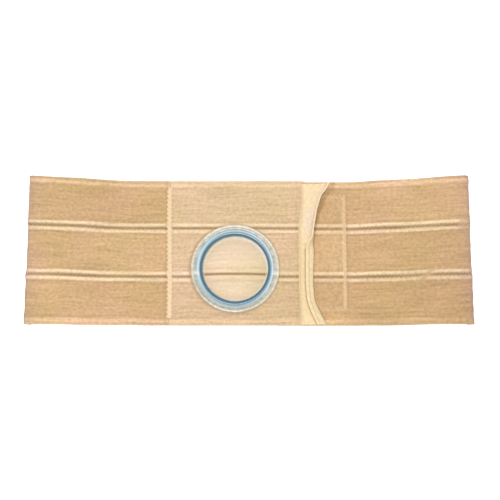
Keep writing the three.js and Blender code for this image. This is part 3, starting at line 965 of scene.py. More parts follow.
# How the sewn edge is turned in: a wide bulge, its lower end, and the stitches' gathers
SEWN_BULGE = (58 * MM, 21 * MM, 3.5 * MM)
SEWN_LOWER = (30 * MM, 65 * MM)
SEWN_LOWER_TURN = 1.5 * MM
SEWN_SHIFT = 0.7 * MM
SEWN_GATHER = 0.22 * MM
SEWN_GATHER_PITCH = 9 * MM

# Half thickness of the tab, what its hem adds and its stitch lines take away, and its creases
TAB_HALF = 0.46 * MM
TAB_HEM = 3.4 * MM
TAB_HEM_EDGE = (TAB_HEM - 0.3 * MM, TAB_HEM + 0.5 * MM)
TAB_HEM_HALF = 0.42 * MM
TAB_HEM_LINE = 0.8 * MM
TAB_SEWN = 1.7 * MM
TAB_SEWN_LINE = 0.5 * MM
TAB_LINE_DEPTH = 0.1 * MM
TAB_EDGE_ROUND = 0.7 * MM
TAB_EDGE_SHARE = 0.08
CREASE = 0.08 * MM
CREASE_PITCH = 13 * MM
CREASE_SLANT = 1.2
CREASE_SEED = 71
CREASE_START = (2 * MM, 6 * MM)

# Tones of the tab: painted shade in its stitch lines and by its sewn edge, the painted shadow under its curled
# edge, its rim, a painted sheen highlight and painted light on its standing cloth
INNER_LINE_TONE = 0.75
OUTER_LINE_TONE = 0.24
UNDER_EDGE_PAST = 0.2 * MM
UNDER_EDGE_WIDTH = 1.0 * MM
UNDER_EDGE_TONE = 0.75
UNDER_EDGE_CLEAR = 5 * MM
SEWN_SHADE = 0.3
SEWN_SHADE_REACH = 4.5 * MM
RIM = (1.8 * MM, 2.8 * MM)
PAINTED_SHEEN_ACROSS = (14 * MM, 8 * MM)
PAINTED_SHEEN_ALONG = (34 * MM, 17 * MM)
STEEPNESS = (0.3, 0.9)
STANDING_LIGHT_ALONG = (58 * MM, 24 * MM)

# Its running stitches
TAB_THREAD_RADIUS = 0.24 * MM
TAB_STITCH_GAP = 2 * MM
TAB_STITCH_PITCH = 3.4 * MM
TAB_STITCH_COVER = 0.7
TAB_STITCH_HEIGHT = 0.24 * MM
HEM_STITCH_BASE = 0.5 * MM
SEWN_STITCH_BASE = 0.36 * MM


def tab_sections(y):
    """Width, flat, tail and curl at each y: the table's rows joined by straight lines and then smoothed."""
    table = dict(zip(TAB_COLUMNS, np.array(TAB_ROWS[::-1]).T))
    places = table["y"] * MM
    weight = hump(SECTION_SPREAD, 0, SECTION_BLUR)
    spread = np.clip(y[:, None] + SECTION_SPREAD, places[0], places[-1])

    def mean(name):
        """The weighted mean of a column about each y."""
        return (np.interp(spread, places, table[name]) @ weight / weight.sum())[:, None]

    return mean("width") * MM, mean("flat") * MM, mean("tail") * MM, np.radians(mean("curl"))


def sewn_start(y):
    """How far the sewn edge is turned in along the tab: it wanders, and the stitches gather it a little."""
    wander = soft_line(y, *SEWN_BULGE) + SEWN_LOWER_TURN * smooth_step(*SEWN_LOWER, -y) - SEWN_SHIFT
    return wander + SEWN_GATHER * np.sin(TURN * y / SEWN_GATHER_PITCH)


def tab_place(y, share, lift):
    """Points on the tab at a share of its width from the sewn edge, lifted off its middle surface.

    The section runs flat, then along a bend, then straight to the free edge. The heading at a share t of the
    bend is curl (1 - (1 - t)^press), where press is 1 in a round curl and more where it is pressed flat. The
    bend's x and z are its run times the mean cosine and sine of the heading up to there. Gives the points,
    their normals and how far each is from the sewn edge and from the free one.
    """
    width, flat, tail, curl = tab_sections(y)
    start = sewn_start(y)[:, None]
    run = start + (width - start) * share
    bend = width - flat - tail
    press = 1 + TAB_PRESS * smooth_step(*PRESS_CURL, curl)
    along = clamp((run - flat) / bend)
    angle = curl * (1 - (1 - along) ** press)
    before = curl[..., None] * (1 - (1 - along[..., None] * BEND_SHARES) ** press[..., None])
    past = np.clip(run - (width - tail), 0, None)
    x = np.minimum(run, flat) + along * bend * np.cos(before).mean(axis=-1) + past * np.cos(angle)
    z = along * bend * np.sin(before).mean(axis=-1) + past * np.sin(angle)
    normals = grid_points(-np.sin(angle), 0.0, np.cos(angle))
    points = grid_points(TAB_EDGE_X + x, y[:, None], TAB_Z + z) + normals * np.asarray(lift)[..., None]
    return points, normals, run - start, width - run


def end_tab():
    """The cloth tab: a curled sheet, with a turned hem at its free edge and a stitched fold at the other."""
    y = np.linspace(TAB_BOTTOM, TAB_TOP, TAB_SAMPLES_ALONG)
    t = (1 - np.cos(np.linspace(0, math.pi, TAB_SAMPLES_ACROSS))) / 2
    share = np.broadcast_to(there_and_back(t), (y.size, 2 * t.size))
    side = np.repeat([1.0, -1.0], t.size)
    middle, normals, from_sewn, from_free = tab_place(y, share, 0.0)
    rows = np.broadcast_to(y[:, None], from_sewn.shape)
    edge = np.minimum(from_sewn, from_free)
    rounding = np.sqrt(1 - (1 - np.clip(edge / TAB_EDGE_ROUND, TAB_EDGE_SHARE, 1)) ** 2)
    stitched = hump(from_free, TAB_HEM, TAB_HEM_LINE)
    lines = TAB_LINE_DEPTH * (stitched + hump(from_sewn, TAB_SEWN, TAB_SEWN_LINE))
    half = rounding * (TAB_HALF + TAB_HEM_HALF * fade(*TAB_HEM_EDGE, from_free) - lines)
    crease = CREASE * ripples(from_sewn, rows, CREASE_SEED, CREASE_PITCH, CREASE_SLANT)
    points = tab_place(y, share, side * half + crease * smooth_step(*CREASE_START, edge))[0]
    surface = grid_points(rows, from_sewn)
    free_x = middle[:, t.size - 1:t.size, 0]
    curled_over = smooth_step(*CURLED_OVER, tab_sections(y)[3])
    inner = side > 0
    # Painted shadow under the curled free edge, and painted shade by the sewn edge and in the stitch lines
    shadow = soft_line(middle[..., 0], free_x + UNDER_EDGE_PAST, UNDER_EDGE_WIDTH, UNDER_EDGE_TONE)
    under_edge = shadow * curled_over * inner * (from_free > UNDER_EDGE_CLEAR)
    sewn_shade = SEWN_SHADE * fade(0, SEWN_SHADE_REACH, from_sewn) * inner
    # Painted light on cloth that stands up, and a painted sheen highlight on the concave face
    steep = smooth_step(*STEEPNESS, -normals[..., 0])
    marks = {
        "groove": clamp(np.where(inner, INNER_LINE_TONE, OUTER_LINE_TONE) * stitched + under_edge + sewn_shade),
        "rim": fade(*RIM, from_free),
        "painted_sheen": hump(from_sewn, *PAINTED_SHEEN_ACROSS) * hump(rows, *PAINTED_SHEEN_ALONG) * inner,
        "standing_light": steep * np.where(inner, hump(rows, *STANDING_LIGHT_ALONG), curled_over),
    }
    mesh = closed_mesh("end_tab", points, tube_quads(y.size, 2 * t.size), surface, marks)
    return add_piece("end_tab_cloth", mesh, TAB_COTTON, "tab_cloth", "end_tab")


def tab_stitches():
    """Running stitches along the tab's hem on both its faces, and along its sewn edge."""
    y = dashes(TAB_BOTTOM + TAB_STITCH_GAP, TAB_TOP - TAB_STITCH_GAP, TAB_STITCH_PITCH, TAB_STITCH_COVER)
    flat_y = y.ravel()
    width = tab_sections(flat_y)[0] - sewn_start(flat_y)[:, None]
    hem = (width - TAB_HEM) / width
    rows = ((hem, 1, HEM_STITCH_BASE), (hem, -1, HEM_STITCH_BASE), (TAB_SEWN / width, 1, SEWN_STITCH_BASE))
    paths = []
    ups = []
    for share, side, base in rows:
        lift = np.broadcast_to(side * (base + TAB_STITCH_HEIGHT * stitch_arch()), y.shape).reshape(-1, 1)
        points, normals, _, _ = tab_place(flat_y, share, lift)
        paths.append(points.reshape(*y.shape, 3))
        ups.append(side * normals.reshape(*y.shape, 3))
    paths = np.concatenate(paths)
    return add_threads("tab_stitches", paths, np.concatenate(ups), TAB_THREAD_RADIUS, TAB_THREAD, "tab_cloth")


# Pouch ring: corners of its two profiles as radius and height above the border's seat, in millimetres, then
# how closely they are sampled, the length of a profile in its UV map, and how its corners are cut
SEAT_Z = FLANGE_LOW.z
FLANGE_CORNERS = (
    (38.2, 0), (45.6, 0), (46.1, 0.4), (46.1, 1.4), (45.4, 2.2),
    (43.9, 2.3), (42.8, 1.5), (42.2, 1.1), (38.2, 1.1),
)
RIM_CORNERS = (
    (34.3, -3.7), (43, -3.7), (43, -2.5), (37.9, -2.5), (37.9, 1.4), (40.1, 1.4),
    (40.1, 2.1), (39.2, 3.0), (37.7, 3.6), (36.0, 3.4), (34.7, 2.6), (34.2, 1.2),
)
FLANGE_SAMPLES = 60
RIM_SAMPLES = 90
RING_STEPS = 160
PROFILE_RUN = 30 * MM
CORNER_CUT = 0.22
CORNER_ROUNDS = 3


def smooth_profile(corners, samples):
    """A closed round line from a profile's corners, by repeated corner cutting and then even spacing.

    Each round puts two points on every side, at a share of its length from either end.
    """
    line = np.array(corners) * MM
    for _ in range(CORNER_ROUNDS):
        after = np.roll(line, -1, axis=0)
        pairs = [between(line, after, CORNER_CUT), between(line, after, 1 - CORNER_CUT)]
        line = np.stack(pairs, axis=1).reshape(-1, 2)
    loop = np.vstack([line, line[:1]])
    run = running_sum(np.linalg.norm(np.diff(loop, axis=0), axis=1))
    even = np.linspace(0, run[-1], samples, endpoint=False)
    return np.interp(even, run, loop[:, 0]), np.interp(even, run, loop[:, 1])


def ring_mesh(name, corners, samples):
    """A profile of radius and height turned about the ring's axis, with each point's radius as a mark."""
    angle = TURN * np.arange(RING_STEPS)[:, None] / RING_STEPS
    radius, height = smooth_profile(corners, samples)
    points = grid_points(*ring_circle(radius, angle), SEAT_Z + height)
    surface = grid_points(angle * BORDER_RADIUS, np.linspace(0, PROFILE_RUN, samples, endpoint=False))
    quads = grid_quads(RING_STEPS, samples, closed_rows=True, closed_columns=True)
    return closed_mesh(name, points, quads, surface, {"radius": radius}, sharp=75)


def pouch_ring():
    """The clear border with its groove and outer bead, and the blue rim with its collar and back lip."""
    flange = ring_mesh("ring_flange", FLANGE_CORNERS, FLANGE_SAMPLES)
    add_piece("ring_flange_clear", flange, CLEAR_PLASTIC, "clear_plastic", "ring_flange")
    rim = ring_mesh("ring_rim", RIM_CORNERS, RIM_SAMPLES)
    add_piece("ring_rim_blue", rim, BLUE_PLASTIC, "blue_plastic", "ring_rim")


# Shader helpers: how bright a white face looks where the light falls on it squarely, and the ranges that a
# noise mostly keeps to
LIGHT_LEVEL = 1.2
WHITE = (1, 1, 1, 1)
WIDE_NOISE = (0.3, 0.7)
CLOSE_NOISE = (0.35, 0.65)


def tone(red, green, blue):
    """Base colour of a face that shows this sRGB colour, 0 to 255, where the light falls on it squarely.

    The numbers are the sRGB curve's own. A little over 255 makes up for light that falls at a slant.
    """
    share = np.array([red, green, blue]) / 255
    light = np.where(share <= 0.04045, share / 12.92, ((share + 0.055) / 1.055) ** 2.4)
    return (*(light / LIGHT_LEVEL).tolist(), 1.0)


def fill_sockets(tree, node, sockets):
    """Links or sets each of a node's named inputs."""
    for socket, value in sockets.items():
        if isinstance(value, bpy.types.NodeSocket):
            tree.links.new(value, node.inputs[socket])
        else:
            node.inputs[socket].default_value = value


def place_node(tree, kind, sockets, **options):
    """Adds a node, sets its options, and fills its inputs."""
    node = tree.nodes.new(kind)
    for option, value in options.items():
        setattr(node, option, value)
    fill_sockets(tree, node, sockets)
    return node


def find_node(tree, kind):
    """The first node of this type."""
    return next(node for node in tree.nodes if node.type == kind)


def calc(tree, operation, *values):
    """One Math node's result."""
    return place_node(tree, "ShaderNodeMath", dict(enumerate(values)), operation=operation).outputs[0]


def vector_calc(tree, operation, sockets, output="Vector"):
    """One Vector Math node's result."""
    return place_node(tree, "ShaderNodeVectorMath", sockets, operation=operation).outputs[output]


def blend(tree, factor, first, second, kind="MIX"):
    """One colour Mix node's result."""
    sockets = {0: factor, 6: first, 7: second}
    return place_node(tree, "ShaderNodeMix", sockets, data_type="RGBA", blend_type=kind).outputs[2]


def span(tree, value, low, high, new_low=0.0, new_high=1.0):
    """One Map Range node's result."""
    sockets = {"Value": value, "From Min": low, "From Max": high, "To Min": new_low, "To Max": new_high}
    return place_node(tree, "ShaderNodeMapRange", sockets).outputs["Result"]


def noise(tree, vector, scale=1.0, detail=2.0, roughness=0.5):
    """One Noise Texture node's value."""
    sockets = {"Vector": vector, "Scale": scale, "Detail": detail, "Roughness": roughness}
    return place_node(tree, "ShaderNodeTexNoise", sockets).outputs[0]


def parts(tree, vector):
    """The three parts of a vector."""
    return place_node(tree, "ShaderNodeSeparateXYZ", {0: vector}).outputs


def stretched(tree, along, across, length, width):
    """A place on the cloth measured in cells of this length and width."""
    sockets = {"X": calc(tree, "DIVIDE", along, length), "Y": calc(tree, "DIVIDE", across, width)}
    return place_node(tree, "ShaderNodeCombineXYZ", sockets).outputs[0]


def scaled(tree, colour, factor):
    """A colour times a number."""
    return vector_calc(tree, "SCALE", {0: colour, "Scale": factor})


def ridges(tree, place):
    """One ridge from each whole number to the next: the sine of pi times the place, without its sign."""
    return calc(tree, "ABSOLUTE", calc(tree, "SINE", calc(tree, "MULTIPLY", place, math.pi)))


def swing(tree, value, amount, about):
    """About plus an amount times how far a noise is from its middle, 1/2."""
    return calc(tree, "MULTIPLY_ADD", calc(tree, "SUBTRACT", value, 0.5), amount, about)


def shared_effect(name, inputs):
    """A shader node group that gives a colour and a height: its tree, inputs to read and node to fill."""
    tree = bpy.data.node_groups.new(name, "ShaderNodeTree")
    for label, kind in inputs.items():
        tree.interface.new_socket(label, in_out="INPUT", socket_type=f"NodeSocket{kind}")
    for label, kind in {"Colour": "Color", "Height": "Float"}.items():
        tree.interface.new_socket(label, in_out="OUTPUT", socket_type=f"NodeSocket{kind}")
    return tree, tree.nodes.new("NodeGroupInput").outputs, tree.nodes.new("NodeGroupOutput")


# Woven cloth: how much of a rib's height its picks make, the length and width of its wavering, streaks and
# grain, how far the wavering bends them, and the tints that it drifts between
PICK_SHARE = 0.45
WAVER_CELL = (45 * MM, 30 * MM)
WAVER_BEND = 9 * MM
STREAK_CELL = (52 * MM, 2.9 * MM)
GRAIN_CELL = (3.4 * MM, 2.9 * MM)
DRIFT_SCALE = 19.0
PINK_TINT = (1.045, 1.01, 1.06, 1.0)
YELLOW_TINT = (0.96, 0.97, 0.885, 1.0)

# Twisted thread: how steeply its strands slant, how dark it is between them and how far up a strand that ends
STRAND_SLANT = 0.8
STRAND_DARK = 0.88
STRAND_EDGE = 0.6

# Loop pile: how dark and pale its tips and its brushed patches are, and how close the patches are
TIP_TONES = (0.87, 1.11)
BRUSHED_TONES = (0.9, 1.1)
BRUSHED_SCALE = 260.0


def woven_effect():
    """Woven cloth: lengthwise ribs crossed by staggered picks, wavering streaks, a grain and a drift of hue.

    Height = rib (1 - share + share pick). The colour is scaled by 1 + streaks (noise - 1/2) + grain
    (noise - 1/2), and then multiplied by a tint that drifts from pink to yellow.
    """
    inputs = {"Colour": "Color", "Surface": "Vector", "Place": "Vector", "Rib Pitch": "Float",
              "Pick Pitch": "Float", "Streaks": "Float", "Grain": "Float", "Drift": "Float"}
    tree, take, give = shared_effect("woven_cloth", inputs)
    surface = parts(tree, take["Surface"])
    along, across = surface["X"], surface["Y"]
    wale = calc(tree, "DIVIDE", across, take["Rib Pitch"])
    stagger = calc(tree, "MULTIPLY", calc(tree, "FLOOR", wale), 0.5)
    course = calc(tree, "ADD", calc(tree, "DIVIDE", along, take["Pick Pitch"]), stagger)
    crossed = calc(tree, "MULTIPLY_ADD", ridges(tree, course), PICK_SHARE, 1 - PICK_SHARE)
    height = calc(tree, "MULTIPLY", ridges(tree, wale), crossed)
    waver = noise(tree, stretched(tree, along, across, *WAVER_CELL), detail=1.0)
    bent = calc(tree, "MULTIPLY_ADD", waver, WAVER_BEND, across)
    streak = noise(tree, stretched(tree, along, bent, *STREAK_CELL), roughness=0.6)
    grain = noise(tree, stretched(tree, along, bent, *GRAIN_CELL), detail=1.0)
    shade = swing(tree, grain, take["Grain"], swing(tree, streak, take["Streaks"], 1.0))
    slow = span(tree, noise(tree, take["Place"], DRIFT_SCALE), *CLOSE_NOISE)
    tint = blend(tree, take["Drift"], WHITE, blend(tree, slow, PINK_TINT, YELLOW_TINT))
    colour = blend(tree, 1.0, scaled(tree, take["Colour"], shade), tint, "MULTIPLY")
    fill_sockets(tree, give, {"Colour": colour, "Height": height})
    return tree


def twist_effect():
    """Twisted thread: slanting strands round it, as a height and a darkening between strands."""
    inputs = {"Colour": "Color", "Surface": "Vector", "Pitch": "Float"}
    tree, take, give = shared_effect("twisted_thread", inputs)
    surface = parts(tree, take["Surface"])
    slant = calc(tree, "MULTIPLY_ADD", surface["Y"], STRAND_SLANT, surface["X"])
    strand = calc(tree, "ABSOLUTE", calc(tree, "SINE", calc(tree, "DIVIDE", slant, take["Pitch"])))
    colour = scaled(tree, take["Colour"], span(tree, strand, 0.0, STRAND_EDGE, STRAND_DARK))
    fill_sockets(tree, give, {"Colour": colour, "Height": strand})
    return tree


def pile_effect():
    """Loop pile: small cells of nap with lighter tips, and broader brushed patches."""
    inputs = {"Colour": "Color", "Place": "Vector", "Loop Size": "Float"}
    tree, take, give = shared_effect("loop_pile", inputs)
    nap = noise(tree, take["Place"], calc(tree, "DIVIDE", 1.0, take["Loop Size"]), roughness=0.6)
    tips = span(tree, nap, *WIDE_NOISE, *TIP_TONES)
    brushed = span(tree, noise(tree, take["Place"], BRUSHED_SCALE, detail=1.0), *WIDE_NOISE, *BRUSHED_TONES)
    colour = scaled(tree, take["Colour"], calc(tree, "MULTIPLY", tips, brushed))
    fill_sockets(tree, give, {"Colour": colour, "Height": nap})
    return tree


WOVEN = woven_effect()
TWIST = twist_effect()
PILE = pile_effect()


# Materials


def new_material(name, **sockets):
    """A material with one Principled shader, whose even values are set on its own sockets."""
    material = bpy.data.materials.new(name)
    material.use_nodes = True
    tree = material.node_tree
    shader = find_node(tree, "BSDF_PRINCIPLED")
    fill_sockets(tree, shader, {socket.replace("_", " "): value for socket, value in sockets.items()})
    return material, tree, shader


def mark(tree, name):
    """The number that a mesh holds for each point under this name."""
    return place_node(tree, "ShaderNodeAttribute", {}, attribute_name=name).outputs["Fac"]


def surface_map(tree):
    """The piece's own UV map, in metres."""
    return place_node(tree, "ShaderNodeUVMap", {}, uv_map="surface").outputs[0]


def object_place(tree):
    """The point's place in the belt's frame, in metres."""
    return place_node(tree, "ShaderNodeTexCoord", {}).outputs["Object"]


def apply_effect(tree, shader, effect, sockets, distance, strength):
    """Places a shared effect: its colour goes to the shader's colour and its height to a bump."""
    node = tree.nodes.new("ShaderNodeGroup")
    node.node_tree = effect
    fill_sockets(tree, node, sockets)
    relief = {"Strength": strength, "Distance": distance, "Height": node.outputs["Height"]}
    bump = place_node(tree, "ShaderNodeBump", relief)
    fill_sockets(tree, shader, {"Base Color": node.outputs["Colour"], "Normal": bump.outputs[0]})


def marked_colour(tree, body, *layers):
    """The body's colour with one colour laid over it for each mark, in turn."""
    colour = body
    for name, over in layers:
        colour = blend(tree, mark(tree, name), colour, over)
    return colour


def weave(tree, colour, surface, rib_pitch, pick_pitch, streaks, grain, drift):
    """What the woven effect takes."""
    return {"Colour": colour, "Surface": surface, "Place": object_place(tree), "Rib Pitch": rib_pitch,
            "Pick Pitch": pick_pitch, "Streaks": streaks, "Grain": grain, "Drift": drift}


# How much of the elastic's streaks and grain shows on its inner face
LINING_WEAVE = 0.5

# Where a painted contact shadow lies round the ring's border on the panel, and where painted light beside its
# wall lies on the lining
CONTACT_SHADOW_SHIFT = -0.7 * MM
CONTACT_SHADOW_REACH = (BORDER_RADIUS + 0.4 * MM, BORDER_RADIUS + 2.8 * MM)
CONTACT_SHADOW_TONE = 0.62
GLOW_REACH = (31.4 * MM, 34.2 * MM)


def from_ring(tree, east=0.0, north=0.0):
    """The place measured from the ring's axis, or from an axis beside it."""
    axis = (RING_X + east, RING_Y + north, 0)
    return vector_calc(tree, "SUBTRACT", {0: object_place(tree), 1: axis})


def ring_reach(tree, east=0.0, north=0.0, wide=1.0, tall=1.0):
    """How far a place is from the ring's axis, or one beside it, with round made oval by wide and tall."""
    oval = vector_calc(tree, "MULTIPLY", {0: from_ring(tree, east, north), 1: (1 / wide, 1 / tall, 0)})
    return vector_calc(tree, "LENGTH", {0: oval}, "Value")


def ring_contact_shadow(tree):
    """How dark the painted contact shadow is round the ring's border: most beside the border, then fading."""
    return span(tree, ring_reach(tree, east=CONTACT_SHADOW_SHIFT), *CONTACT_SHADOW_REACH, CONTACT_SHADOW_TONE, 0.0)


def ring_glow(tree):
    """How much painted light lies on the lining beside the ring's wall."""
    return calc(tree, "MULTIPLY", span(tree, ring_reach(tree), *GLOW_REACH), mark(tree, "lining"))


def elastic(name, body, selvage, hem, groove, fold, lining, streaks, grain, ringed=False):
    """Woven elastic: body, paler inner face, ribs and hems, painted shade in grooves, on darker stretches and
    over folds, a painted contact shadow round the ring on the panel and painted light beside the ring's wall on
    the lining.
    """
    material, tree, shader = new_material(name, Roughness=0.86, Sheen_Weight=0.08, Specular_IOR_Level=0.25)
    layers = [("lining", lining), ("selvage", selvage), ("hem", hem), ("groove", groove), ("shade", SHADE)]
    colour = marked_colour(tree, body, *layers, ("fold", fold))
    # The panel takes a painted contact shadow round the ring's border, the lining painted light beside the
    # ring's wall
    if ringed:
        colour = blend(tree, ring_contact_shadow(tree), colour, groove)
    else:
        colour = blend(tree, ring_glow(tree), colour, RING_GLOW)
    faint = span(tree, mark(tree, "lining"), 0.0, 1.0, 1.0, LINING_WEAVE)
    sockets = weave(
        tree, colour, surface_map(tree), rib_pitch=1.15 * MM, pick_pitch=1.4 * MM,
        streaks=calc(tree, "MULTIPLY", faint, streaks), grain=calc(tree, "MULTIPLY", faint, grain), drift=1.0)
    apply_effect(tree, shader, WOVEN, sockets, distance=0.25 * MM, strength=0.45)
    return material


def cotton(name, body, pitch, *layers):
    """Plain woven cotton tape, with a colour for each mark that its piece has."""
    material, tree, shader = new_material(name, Roughness=0.8, Sheen_Weight=0.1, Specular_IOR_Level=0.3)
    colour = marked_colour(tree, body, *layers)
    sockets = weave(tree, colour, surface_map(tree), pitch, pitch, streaks=0.1, grain=0.35, drift=0.5)
    apply_effect(tree, shader, WOVEN, sockets, distance=0.2 * MM, strength=0.5)
    return material


def thread(name, colour):
    """Twisted sewing thread."""
    material, tree, shader = new_material(name, Roughness=0.65, Sheen_Weight=0.1)
    sockets = {"Colour": colour, "Surface": surface_map(tree), "Pitch": 0.2 * MM}
    apply_effect(tree, shader, TWIST, sockets, distance=0.1 * MM, strength=0.5)
    return material


def loop_pile(name, body, selvage, groove):
    """Brushed loop pile that lets the wing's ribs and seams show through with their painted shade, and takes
    painted shade beside the tab.
    """
    material, tree, shader = new_material(name, Roughness=0.95, Sheen_Weight=0.2, Specular_IOR_Level=0.15)
    colour = marked_colour(tree, body, ("selvage", selvage), ("groove", groove), ("shade", SHADE))
    sockets = {"Colour": colour, "Place": object_place(tree), "Loop Size": 1.6 * MM}
    apply_effect(tree, shader, PILE, sockets, distance=0.5 * MM, strength=0.6)
    return material


# What shows in the ring: the crown of a selvage rib below it, measured from its seam, the painted shade of its
# lower left, the painted sky reflection of its upper left, and where the pale blue of the painted reflection
# past its wall and the cream of its bead begin
RIB_CROWN = 3.4 * MM
RIB_SHOWS = (0.6 * MM, 2.8 * MM)
RING_SHADE_SLANT = 0.4
RING_SHADE_REACH = (-40 * MM, -8 * MM)
SKY_REFLECTION_REACH = (16 * MM, 54 * MM)
WALL_OVAL = {"east": 0.2 * MM, "north": -0.3 * MM, "wide": 0.992, "tall": 1.014}
WALL_REACH = (37.1 * MM, 38.9 * MM)
BEAD_REACH = (41.6 * MM, 43.4 * MM)

# How the plastics vary: each one's lowest and highest roughness, the clear border's tone where painted shade
# greys it, its alpha in the groove and on the bead, and what its cloudiness does to its tone and its alpha
BLUE_ROUGHNESS = (0.26, 0.42)
CLEAR_ROUGHNESS = (0.18, 0.34)
SHADED_BORDER = 0.84
BORDER_ALPHA = (0.6, 0.68)
CLOUD_TONES = (0.9, 1.08)
CLOUD_ALPHA = (-0.08, 0.08)


def rib_below(tree, rib_y):
    """1 where the ring lies over the middle of a selvage rib of the panel, falling to 0 beside it."""
    offset = calc(tree, "ABSOLUTE", calc(tree, "SUBTRACT", parts(tree, object_place(tree))["Y"], rib_y))
    return span(tree, offset, *RIB_SHOWS, 1.0, 0.0)


def ring_shade(tree):
    """Painted shade on the ring: 1 at its lower left, which is greyest, falling to 0 above its middle."""
    offset = parts(tree, from_ring(tree))
    along = calc(tree, "MULTIPLY_ADD", offset["X"], RING_SHADE_SLANT, offset["Y"])
    return span(tree, along, *RING_SHADE_REACH, 1.0, 0.0)


def blue_plastic(name, deep, pale, sky_reflection, shade_grey, over_rib):
    """Translucent blue plastic: deep at the opening, pale on the dome by a painted reflection, bluer at the
    upper left by a painted sky reflection and greyer below by painted shade.
    """
    material, tree, shader = new_material(name, Coat_Weight=0.25, Coat_Roughness=0.2)
    offset = parts(tree, from_ring(tree))
    upper_left = span(tree, calc(tree, "SUBTRACT", offset["Y"], offset["X"]), *SKY_REFLECTION_REACH)
    dome = blend(tree, upper_left, blend(tree, ring_shade(tree), pale, shade_grey), sky_reflection)
    dome = blend(tree, rib_below(tree, RIB_CROWN - SEAM_Y), dome, over_rib)
    outer = span(tree, ring_reach(tree, **WALL_OVAL), *WALL_REACH)
    ripple = span(tree, noise(tree, object_place(tree), scale=420.0), *WIDE_NOISE, *BLUE_ROUGHNESS)
    fill_sockets(tree, shader, {"Base Color": blend(tree, outer, deep, dome), "Roughness": ripple})
    return material


def clear_plastic(name, groove, bead, seam_groove, seam_bead, over_lower_rib, over_upper_rib):
    """Clear plastic: grey and thin in the groove, partly painted shade; cream on the bead, partly a painted
    highlight; greyer at the lower left by painted shade; over the cloth that shows through it.
    """
    material, tree, shader = new_material(name, Coat_Weight=0.3, Coat_Roughness=0.15)
    on_bead = span(tree, mark(tree, "radius"), *BEAD_REACH)
    colour = blend(tree, on_bead, groove, bead)
    colour = scaled(tree, colour, span(tree, ring_shade(tree), 0.0, 1.0, 1.0, SHADED_BORDER))
    colour = blend(tree, rib_below(tree, SEAM_Y), colour, blend(tree, on_bead, seam_groove, seam_bead))
    colour = blend(tree, rib_below(tree, RIB_CROWN - SEAM_Y), colour, over_lower_rib)
    colour = blend(tree, rib_below(tree, RIB_CROWN + SEAM_Y), colour, over_upper_rib)
    cloudy = noise(tree, object_place(tree), scale=240.0)
    colour = scaled(tree, colour, span(tree, cloudy, *CLOSE_NOISE, *CLOUD_TONES))
    uneven = span(tree, cloudy, *CLOSE_NOISE, *CLOUD_ALPHA)
    alpha = calc(tree, "ADD", span(tree, on_bead, 0.0, 1.0, *BORDER_ALPHA), uneven)
    ripple = span(tree, cloudy, *WIDE_NOISE, *CLEAR_ROUGHNESS)
    fill_sockets(tree, shader, {"Base Color": colour, "Alpha": alpha, "Roughness": ripple})
    return material


def hook_plastic(name, body, pitch):
    """Hook fastener tape: rows of small hooks as a bump."""
    material, tree, shader = new_material(name, Roughness=0.55)
    sockets = weave(tree, body, object_place(tree), pitch, pitch, streaks=0.1, grain=0.2, drift=0.3)
    apply_effect(tree, shader, WOVEN, sockets, distance=0.6 * MM, strength=0.9)
    return material


def floor_paper(name, grey, white):
    """Plain white paper with a very faint mottle, lit a little from within as on a light table."""
    material, tree, shader = new_material(name, Roughness=0.9, Emission_Strength=0.35, Emission_Color=WHITE)
    mottle = span(tree, noise(tree, object_place(tree), scale=30.0), *WIDE_NOISE)
    fill_sockets(tree, shader, {"Base Color": blend(tree, mottle, grey, white)})
    return material


# Painted shade laid over the cloth and pile, and painted light laid on the lining beside the ring's wall
SHADE = tone(152, 116, 70)
RING_GLOW = tone(260, 253, 236)
# The groove and fold tones of both elastics are painted shade
WRAP_ELASTIC = elastic(
    "wrap_elastic", body=tone(216, 179, 134), selvage=tone(252, 224, 186), hem=tone(242, 205, 164),
    groove=tone(182, 151, 115), fold=tone(180, 149, 144), lining=tone(247, 223, 189),
    streaks=0.62, grain=0.56)
PANEL_ELASTIC = elastic(
    "panel_elastic", body=tone(228, 197, 159), selvage=tone(250, 223, 187), hem=tone(244, 212, 172),
    groove=tone(187, 157, 119), fold=tone(180, 148, 134), lining=tone(226, 196, 158),
    streaks=0.62, grain=0.5, ringed=True)
TAPE_COTTON = cotton("tape_cotton", tone(254, 225, 183), 0.7 * MM)
# The tab's tones: a painted sheen highlight, its rim, painted light on standing cloth, and painted shade
TAB_COTTON = cotton(
    "tab_cotton", tone(255, 230, 187), 0.6 * MM,
    ("painted_sheen", tone(250, 229, 212)), ("rim", tone(255, 232, 190)), ("standing_light", tone(268, 244, 204)),
    ("groove", tone(186, 152, 104)))
CREAM_THREAD = thread("cream_thread", tone(255, 232, 192))
TAB_THREAD = thread("tab_thread", tone(240, 212, 168))
SEAM_THREAD = thread("seam_thread", tone(232, 200, 158))
PATCH_THREAD = thread("patch_thread", tone(250, 216, 170))
PATCH_END_THREAD = thread("patch_end_thread", tone(221, 185, 138))
LOOP_PILE = loop_pile(
    "loop_pile", body=tone(223, 187, 141), selvage=tone(255, 226, 186), groove=tone(186, 154, 112))
# The blue ring: painted reflection pales its dome and blues its upper left, painted shade greys it below
BLUE_PLASTIC = blue_plastic(
    "blue_plastic", deep=tone(78, 121, 143), pale=tone(228, 247, 252), sky_reflection=tone(204, 236, 251),
    shade_grey=tone(184, 208, 217), over_rib=tone(250, 252, 252))
CLEAR_PLASTIC = clear_plastic(
    "clear_plastic", groove=tone(206, 210, 202), bead=tone(248, 242, 222), seam_groove=tone(194, 195, 185),
    seam_bead=tone(246, 238, 214), over_lower_rib=tone(255, 254, 246), over_upper_rib=tone(255, 248, 224))
HOOK_PLASTIC = hook_plastic("hook_plastic", tone(232, 214, 184), 1.6 * MM)
FLOOR_PAPER = floor_paper("floor_paper", grey=(0.88, 0.88, 0.88, 1), white=(0.9, 0.9, 0.9, 1))


# The belt


